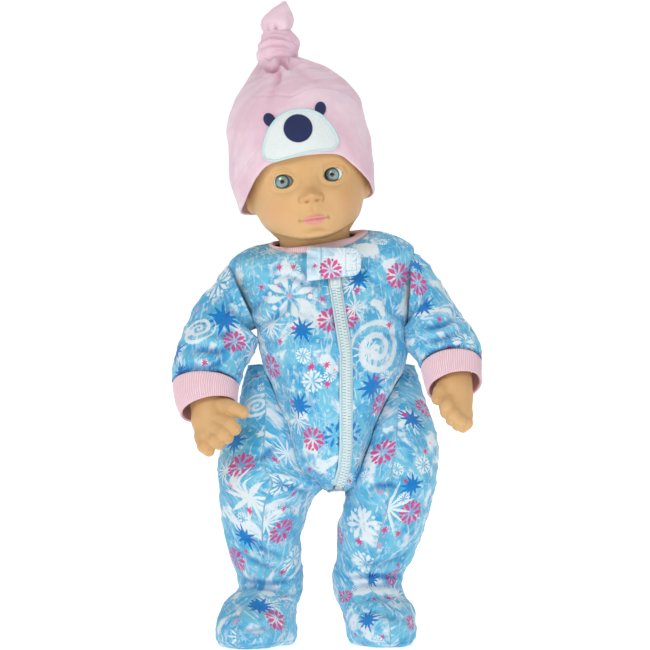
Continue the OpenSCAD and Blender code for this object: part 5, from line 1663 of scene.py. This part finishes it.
# Share of the way to the front, and the height of the brim there
BRIM = [[-1, 29.5], [-0.5, 30.4], [0, 33.8], [0.3, 38], [0.48, 43], [0.63, 49.8], [0.75, 56],
        [0.9, 63.6], [1, 65.6]]
BRIM_CURVE = smooth_rows(BRIM, 300, [20, 1])
HAT_SEAM = [(-47, 366.2), (-34.6, 367.7), (-22.6, 366.4), (-13.3, 371.1), (-4, 373.7), (6.7, 372.4),
            (17.6, 367.7),
            (24, 361.8), (31, 352), (35, 340)]
HAT_FOLDS = [
    (3.4, 1.5, [(-41.5, 387.5), (-38.5, 384.8), (-35, 384.2), (-31.5, 386.8), (-29, 390.5)]),
    (3.8, 1.7, [(-29.5, 391.5), (-27.5, 388), (-25, 385.8), (-22.8, 386.6)]),
    (-1.6, 2.6, [(-41, 391), (-36, 389.6), (-31, 391)]),
    (1.6, 1.8, [(-31, 386), (-30, 381), (-31.5, 374)]),
    (1.1, 2.6, [(-32, 384), (-34, 374), (-39, 361)]),
    (1.0, 3.0, [(-40, 385), (-46, 373), (-52, 358)]),
    (0.9, 3.0, [(-22, 386), (-10, 379), (2, 375)]),
    (-0.8, 5.0, [(-44, 376), (-50, 362), (-54, 345)]),
    (1.0, 3.5, [(-60, 346), (-64, 330), (-63, 312)]),
    (0.8, 3.5, [(27, 350), (30, 335), (31, 322)]),
    (0.6, 3.0, [(-58, 322), (-52, 310), (-50, 300)]),
]


def hat_brim(angle):
    """Height of the hat's lower edge round the head: high over the brow, low behind the ears."""
    return np.interp(-np.sin(angle), BRIM_CURVE[:, 0], BRIM_CURVE[:, 1])


def add_hat():
    """Knit hat from the brim to the foot of its knot, with a hem line and a front seam."""
    cols = 360
    angles = circle(cols)[None, :]
    t = np.linspace(0, 1, 230)[:, None]
    z = hat_brim(angles) * (1 - t) + HAT[-1][0] * t
    cx, cy, rx, ry = oval_at(HAT_ROWS, z)
    local = np.stack([cx + rx * np.cos(angles), cy + ry * np.sin(angles), z], axis=-1)
    grid = from_face(local)
    normals = grid_normals(grid, True)
    facing = front_share(normals)
    patch = spot(local[..., 0], local[..., 2], -2.4, 82, 32, 19) * facing
    lift, shade = creases(grid, HAT_FOLDS, facing)
    seam, seam_shade = creases(grid, [(0.75, 0.75, HAT_SEAM)], facing)
    lift = lift + seam - 0.25 * seam_shade
    calm = 1 - np.clip(1.3 * patch, 0, 1)
    lift = lift + calm * (1.0 * bumps(grid, (26, 26, 34), 5) + 0.5 * bumps(grid, 11.0, 6))
    lift = lift + 0.06 * bumps(grid, 1.4, 8)
    gather = smooth_step(local[..., 2], 112, 130) * (np.sin(angles * 11 + 1.7 * np.sin(angles * 2)) - 0.2)
    lift = lift + 0.8 * gather
    walk = run_length(grid, 0)
    lift = lift - 1.5 * (1 - np.sqrt(1 - np.clip(1 - walk / 2.4, 0, 1) ** 2 * 0.99))
    hem = bell(walk - 17.0, 0.5) * (1 - facing * 0.6)
    lift = lift - 0.35 * hem
    shaped = grid + normals * lift[..., None]
    around = run_length(grid, 1)
    # painted shade from the folds, the front seam and the gathers under the knot
    shade = np.clip(shade + 0.35 * seam_shade + 0.25 * np.clip(-gather, 0, 1), 0, 1)
    cloth = np.stack([around, walk, shade], axis=-1)
    hat = shell_piece("hat_body", shaped, 1.5, True, cloth)
    finish_piece(hat, MATERIALS["jersey"], "hat", "hat_jersey", "hat_body")


WRAP = [
    [390.2, -31.4, 3.8, 10.2, 9.4, 0, 9], [392.2, -31.6, 3.8, 13.4, 12.2, 0, 9],
    [396.4, -31.5, 3.7, 14.7, 13, 0, 9],
    [400.6, -31.1, 3.6, 14.2, 12.5, 0, 8], [404.6, -31.2, 3.7, 12.6, 11, 0, 6],
    [408, -31.6, 3.9, 10.9, 9.2, 0, 3],
    [410.4, -31.9, 4, 9.2, 7.6, 0, 1], [411.4, -31.9, 4, 6.4, 5.2, 0, 0],
]
PETAL = [
    [405.5, -32, 4, 7.2, 5.6], [409.4, -32.3, 4, 8.6, 6.6], [413.4, -32, 4, 10.7, 7.2],
    [417.2, -31.6, 4.3, 10.9, 6.8],
    [421, -30.8, 4.6, 9.4, 5.8], [424.6, -29.5, 5, 6.6, 4.4], [428, -28.3, 5, 3.4, 2.8],
    [430.3, -27.6, 5, 1.1, 1],
]
WRAP_FOLDS = [
    (1.3, 1.0, [(-44, 403.5), (-37, 406.6), (-28, 405.5), (-20, 401.5)]),
    (1.4, 1.1, [(-45.5, 397.5), (-37, 401), (-28, 400.5), (-17.5, 396)]),
    (-0.8, 1.8, [(-44, 400.5), (-36, 403.6), (-27, 403), (-19, 399.5)]),
    (0.9, 0.9, [(-38, 394.6), (-30, 397), (-20, 394.6)]),
    (0.9, 0.9, [(-40, 408), (-33, 409.6), (-25, 407.6)]),
    (1.0, 1.2, [(-22, 405), (-19, 401), (-17.4, 397)]),
]
PETAL_FOLDS = [
    (1.9, 1.1, [(-32.6, 408), (-32.8, 411.5), (-32, 415)]),
    (0.9, 1.4, [(-38, 409), (-39, 413), (-38.5, 418)]),
    (-0.7, 2.2, [(-28, 410), (-26.5, 416), (-27, 423)]),
    (0.6, 1.4, [(-24.6, 409), (-23, 414), (-23.5, 419)]),
]


def soft_loft(table, rows, cols, folds, lumps, seed):
    """Points, cloth places and faces of a small folded knit form closed at its top."""
    wide = [list(row) + [0] * (8 - len(row)) for row in table]
    grid = ring_grid(smooth_rows(wide, rows, [1, 1, 1, 1, 1, 0.1, 0.1, 0.1]),
                     circle(cols)[None, :])
    normals = grid_normals(grid, True)
    lift, shade = creases(grid, folds)
    lift = lift + lumps * bumps(grid, 5.0, seed) + 0.06 * bumps(grid, 1.3, seed + 1)
    shaped = grid + normals * lift[..., None]
    # the third channel is the painted shade of the knot's folds
    cloth = np.stack([run_length(grid, 1), run_length(grid, 0), np.clip(shade, 0, 1)], axis=-1)
    top = shaped[-1].mean(axis=0)
    verts = np.concatenate([shaped.reshape(-1, 3), [top]])
    weave = np.concatenate([cloth.reshape(-1, 3), [cloth[-1, 0]]])
    ring = (rows - 1) * cols + np.arange(cols)
    cap = np.stack([ring, np.roll(ring, -1), np.full(cols, rows * cols)], axis=-1)
    faces = [list(f) for f in grid_faces(rows, cols, True)] + [list(f) for f in cap]
    return verts, weave, faces


def add_knot():
    wrap, wrap_weave, wrap_faces = soft_loft(WRAP, 90, 150, WRAP_FOLDS, 0.35, 61)
    petal, petal_weave, petal_faces = soft_loft(PETAL, 90, 130, PETAL_FOLDS, 0.3, 67)
    faces = wrap_faces + [[v + len(wrap) for v in f] for f in petal_faces]
    knot = make_piece("hat_knot", np.concatenate([wrap, petal]), faces,
                      {"cloth": np.concatenate([wrap_weave, petal_weave])})
    finish_piece(knot, MATERIALS["jersey"], "hat", "hat_jersey", "hat_knot")


def on_hat(x, z, lift):
    """A point on the front of the hat, in the row frame."""
    cx, cy, rx, ry = oval_at(HAT_ROWS, z)
    share = np.clip((x - cx) / (rx + lift), -0.99, 0.99)
    return from_face(np.stack([x, cy - (ry + lift) * np.sqrt(1 - share ** 2), z], axis=-1))


def closed_curve(points, count):
    """A smooth closed outline through a few points."""
    loop = np.array(points + points[:3], float)
    made = smooth_rows(loop.tolist(), count * (len(points) + 2) // len(points) + 8)
    half = len(made) // 2
    away = np.linalg.norm(made - np.array(points[1], float), axis=1)
    start = int(np.argmin(away[:half]))
    end = half + int(np.argmin(away[half:]))
    ring = np.vstack([made[start:end], made[start:start + 1]])
    step = run_length(ring, 0)
    at = np.linspace(0, step[-1], count, endpoint=False)
    return np.stack([np.interp(at, step, ring[:, k]) for k in (0, 1)], axis=-1)


def applique(name, outline, centre, base, thick, material, slot, border=None, dome=0.3, node=None):
    """A stitched patch on the hat: a slightly padded face, and a satin-stitch border when asked for."""
    outline = np.asarray(outline)
    count = len(outline)
    steps = np.linspace(1, 0.0, 26)
    grid = []
    for k in steps:
        at = np.array(centre) + (outline - centre) * k
        rise = base + thick * min(1.0, math.sqrt(max(0.0, (1 - k) / 0.05))) + dome * (1 - k ** 2)
        grid.append(on_hat(at[:, 0], at[:, 1], rise))
    piece = make_piece(name, np.concatenate(grid), grid_faces(len(steps), count, True).tolist())
    mend_mesh(piece, 1e-6)
    finish_piece(piece, material, "hat", slot, *([node] if node else []))
    if border:
        ring = on_hat(outline[:, 0], outline[:, 1], base + thick * 0.7)
        ahead = np.roll(ring, -1, axis=0) - np.roll(ring, 1, axis=0)
        ahead /= np.linalg.norm(ahead, axis=1, keepdims=True)
        out = ring - on_hat(outline[:, 0], outline[:, 1], base - 1.0)
        out /= np.linalg.norm(out, axis=1, keepdims=True)
        wide = np.cross(out, ahead)
        a = circle(12)
        ripple = 1 + 0.07 * np.cos(np.arange(count) * math.pi)[:, None]
        tube = (ring[:, None] + wide[:, None] * (border * np.cos(a) * ripple)[..., None]
                + out[:, None] * (0.62 * border * np.sin(a) * ripple)[..., None])
        index = np.arange(count * 12).reshape(count, 12)
        across = np.roll(index, -1, 1)
        quads = np.stack([index, across, np.roll(across, -1, 0), np.roll(index, -1, 0)], -1)
        edge = make_piece(name + "_border", tube.reshape(-1, 3), quads.reshape(-1, 4).tolist())
        finish_piece(edge, MATERIALS["patch_edge"], "hat", slot)


def oval(cx, cz, rx, rz, lean):
    a = circle(110)
    x, z = rx * np.cos(a), rz * np.sin(a)
    c, s = math.cos(lean), math.sin(lean)
    return np.stack([cx + x * c - z * s, cz + x * s + z * c], axis=-1)


MUZZLE = [
    (-5.2, 96.0), (2.6, 95.8), (9, 93.8), (13.6, 90.8), (17.8, 85.3), (20.6, 80.5), (22.3, 75.4),
    (22.4, 70.8),
    (19.4, 68.0), (9.8, 68.0), (-1.5, 67.4), (-12.9, 65.9), (-21.4, 65.3), (-26.2, 67.4), (-27.3, 71.2),
    (-26, 76.2), (-22.9, 83.3), (-18.4, 89.4), (-12.2, 94.0),
]


def add_face_patches():
    ears = [oval(-20.1, 92.3, 3.8, 4.8, 0.35), oval(14.4, 94.9, 3.8, 4.7, -0.25)]
    for word, outline in zip(("right", "left"), ears):
        applique("ear_patch_" + word, outline, outline.mean(axis=0), 0.4, 0.7, MATERIALS["patch_navy"],
                 "applique_navy", node="ear_patches" if word == "left" else None)
    muzzle = closed_curve(MUZZLE, 420)
    applique("muzzle_patch", muzzle, (-2.4, 79.0), 0.5, 0.8, MATERIALS["patch_white"], "applique_white", 0.95,
             0.5, "muzzle_patch")
    applique("nose_patch", oval(-2.4, 84.1, 9.7, 9.4, 0), (-2.4, 84.1), 1.5, 1.1, MATERIALS["patch_navy"],
             "applique_navy", None, 0.9, "nose_patch")


# ---------------------------------------------------------------- arms and hands
ARM_RIGHT = [[(-62, 0, 227), 12], [(-69, -6, 213), 15], [(-74.5, -14, 197), 14.7], [(-78.5, -22, 180), 13.5],
             [(-77.5, -32, 163), 11], [(-76, -37, 155), 10.6]]
ARM_LEFT = [[(64, 0, 231.5), 12], [(72, -7.5, 217.8), 13.6], [(78.4, -15.5, 204), 13.6],
            [(83, -23, 191), 12.6],
            [(85.5, -32, 178), 10.8], [(86.5, -37, 171), 10.4]]
# Each finger is a chain of [place, radius]; the first chain is the palm
HAND_RIGHT = [
    [[(-76, -37, 156), 9.5], [(-72, -42, 146), 9]], [[(-80, -38, 150), 8.5], [(-78, -43, 142), 7.5]],
    [[(-68, -40, 161), 6.4], [(-61, -45.5, 159.4), 5.1], [(-54.6, -48, 157.2), 4.3]],
    [[(-69, -45, 152), 5.6], [(-63, -50.5, 149), 5.0], [(-59.6, -50.2, 146.2), 4.3]],
    [[(-72.5, -46.5, 146.5), 5.6], [(-67.6, -52, 143.4), 4.9], [(-64.6, -50.6, 140.6), 4.3]],
    [[(-77, -46, 142.6), 5.3], [(-73.2, -51.4, 138.6), 4.7], [(-70.2, -49.6, 136.4), 4.1]],
    [[(-82, -42.5, 140.4), 5.0], [(-80, -47.6, 134.6), 4.4], [(-77, -48, 131.6), 3.9]],
]
HAND_LEFT = [
    [[(86.5, -37, 172), 9.3], [(86.5, -42, 161), 8.4]], [[(90, -38, 165), 7.6], [(90.5, -43, 157), 7]],
    [[(80, -39.5, 175), 6.0], [(76.6, -44.6, 170.4), 4.9], [(74.6, -47.6, 166.2), 4.3]],
    [[(82.5, -45.6, 164.6), 5.5], [(80.6, -50.6, 161.4), 4.9], [(80.4, -49.6, 157.2), 4.3]],
    [[(86, -46.6, 158.8), 5.4], [(84.8, -51.6, 155.6), 4.8], [(84, -50.2, 152.2), 4.2]],
    [[(89.8, -45.6, 155.6), 5.1], [(89, -51, 151.8), 4.5], [(88, -49.6, 148.8), 4.0]],
    [[(93.6, -42.2, 155), 4.6], [(93.6, -47, 149.8), 4.2], [(91.4, -48.6, 147.2), 3.7]],
]


def capsule(p, a, b, ra, rb):
    a, b = np.array(a, float), np.array(b, float)
    along = b - a
    h = np.clip(((p - a) @ along) / (along @ along), 0, 1)
    return np.linalg.norm(p - a - h[:, None] * along, axis=1) - (ra + (rb - ra) * h)


def melt(a, b, k):
    h = np.clip(0.5 + 0.5 * (b - a) / k, 0, 1)
    return b * (1 - h) + a * h - k * h * (1 - h)


def chain(p, links, k):
    total = None
    for (a, ra), (b, rb) in zip(links, links[1:]):
        part = capsule(p, a, b, ra, rb)
        total = part if total is None else melt(total, part, k)
    return total


def hand_field(p, arm, hand):
    """Distance to the arm with its palm, and to the curled fingers that melt into it."""
    palm = chain(p, arm, 6.0)
    for links in hand[:2]:
        palm = melt(palm, chain(p, links, 2.0), 5.0)
    fingers = None
    for links in hand[2:]:
        part = chain(p, links, 1.4)
        fingers = part if fingers is None else melt(fingers, part, 0.5)
    field = melt(palm, fingers, 2.0)
    for links in hand[3:]:
        knuckle, radius = np.array(links[0][0], float), links[0][1]
        tip = np.array(links[1][0], float)
        away = unit_vector(knuckle - tip)
        dimple = knuckle + away * 1.5 + np.array([0, -radius * 0.55, radius * 0.75])
        field = field + 0.55 * np.exp(-np.sum((p - dimple) ** 2, axis=1) / 3.4)
    return field


def unit_vector(v):
    return v / np.linalg.norm(v)


def capsule_mesh(bm, a, b, ra, rb):
    """Adds a closed round-ended cone between two places."""
    along = unit_vector(b - a)
    one = unit_vector(np.cross(along, [0.3, 0.9, 0.31]))
    two = np.cross(along, one)
    turn = circle(28)[None, :]
    polar = np.linspace(0.04, math.pi - 0.04, 20)[:, None]
    radius = np.where(polar < math.pi / 2, ra, rb)
    centre = np.where((polar < math.pi / 2)[..., None], a, b)
    ring = one * np.cos(turn)[..., None] + two * np.sin(turn)[..., None]
    rest = radius[..., None] * (np.sin(polar)[..., None] * ring - np.cos(polar)[..., None] * along)
    grid = (centre + rest) * MM
    verts = [[bm.verts.new(p) for p in row] for row in grid]
    for lower, upper in zip(verts, verts[1:]):
        for k in range(len(lower)):
            after = (k + 1) % len(lower)
            bm.faces.new((lower[k], lower[after], upper[after], upper[k]))
    bm.faces.new(verts[0][::-1])
    bm.faces.new(verts[-1])


PROBE = 0.05                    # step for the slope of the hand's field


def add_arm(side, arm, hand):
    """Vinyl forearm and curled hand, drawn out of a distance field."""
    word = side_word(side)
    bm = bmesh.new()
    for links in [arm] + hand:
        for (a, ra), (b, rb) in zip(links, links[1:]):
            capsule_mesh(bm, np.array(a, float), np.array(b, float), ra * 1.03, rb * 1.03)
    rough = piece_from_bmesh("arm_" + word, bm)
    remesh = rough.modifiers.new("remesh", "REMESH")
    remesh.mode = "VOXEL"
    remesh.voxel_size = 0.85 * MM
    mesh = apply_modifiers(rough)
    points = np.empty(len(mesh.vertices) * 3)
    mesh.vertices.foreach_get("co", points)
    p = points.reshape(-1, 3) / MM
    for _ in range(6):
        value = hand_field(p, arm, hand)
        ahead = [hand_field(p + PROBE * np.eye(3)[k], arm, hand) - value for k in range(3)]
        slope = np.stack(ahead, axis=-1) / PROBE
        size = np.maximum(np.linalg.norm(slope, axis=1, keepdims=True), 0.4)
        p = p - np.clip(value, -1.2, 1.2)[:, None] * slope / size ** 2
    nail_shade = np.zeros(len(p))
    for links in hand[2:]:
        tip, radius = np.array(links[2][0], float), links[2][1]
        back = unit_vector(tip - np.array(links[1][0], float)) * 0.5 + np.array([0, -0.85, 0.25])
        centre = tip + unit_vector(back) * radius
        near = np.linalg.norm((p - centre) / [1.9, 1.6, 2.2], axis=1)
        nail_shade = np.maximum(nail_shade, np.exp(-((near - 1.0) / 0.22) ** 2))
        slope = unit_vector(back)
        p = p - slope * (0.28 * np.exp(-((near - 1.05) / 0.2) ** 2))[:, None]
    mesh.vertices.foreach_set("co", (p * MM).reshape(-1))
    mesh.update()
    mesh.polygons.foreach_set("use_smooth", [True] * len(mesh.polygons))
    data = mesh.attributes.new("paint", "FLOAT_VECTOR", "POINT")
    zero = np.zeros_like(nail_shade)
    # the third paint channel is painted shade along the nail edges
    data.data.foreach_set("vector", np.stack([zero, zero, 0.28 * nail_shade], axis=-1).reshape(-1))
    smooth = rough.modifiers.new("smooth", "SMOOTH")
    smooth.factor = 0.5
    smooth.iterations = 2
    apply_modifiers(rough).materials.clear()
    finish_piece(rough, MATERIALS["vinyl"], "arm_" + word, "vinyl", "arm_" + word)


add_head()
add_eyeball(-1)
add_eyeball(1)
add_hat()
add_knot()
add_face_patches()
add_arm(-1, ARM_RIGHT, HAND_RIGHT)
add_arm(1, ARM_LEFT, HAND_LEFT)
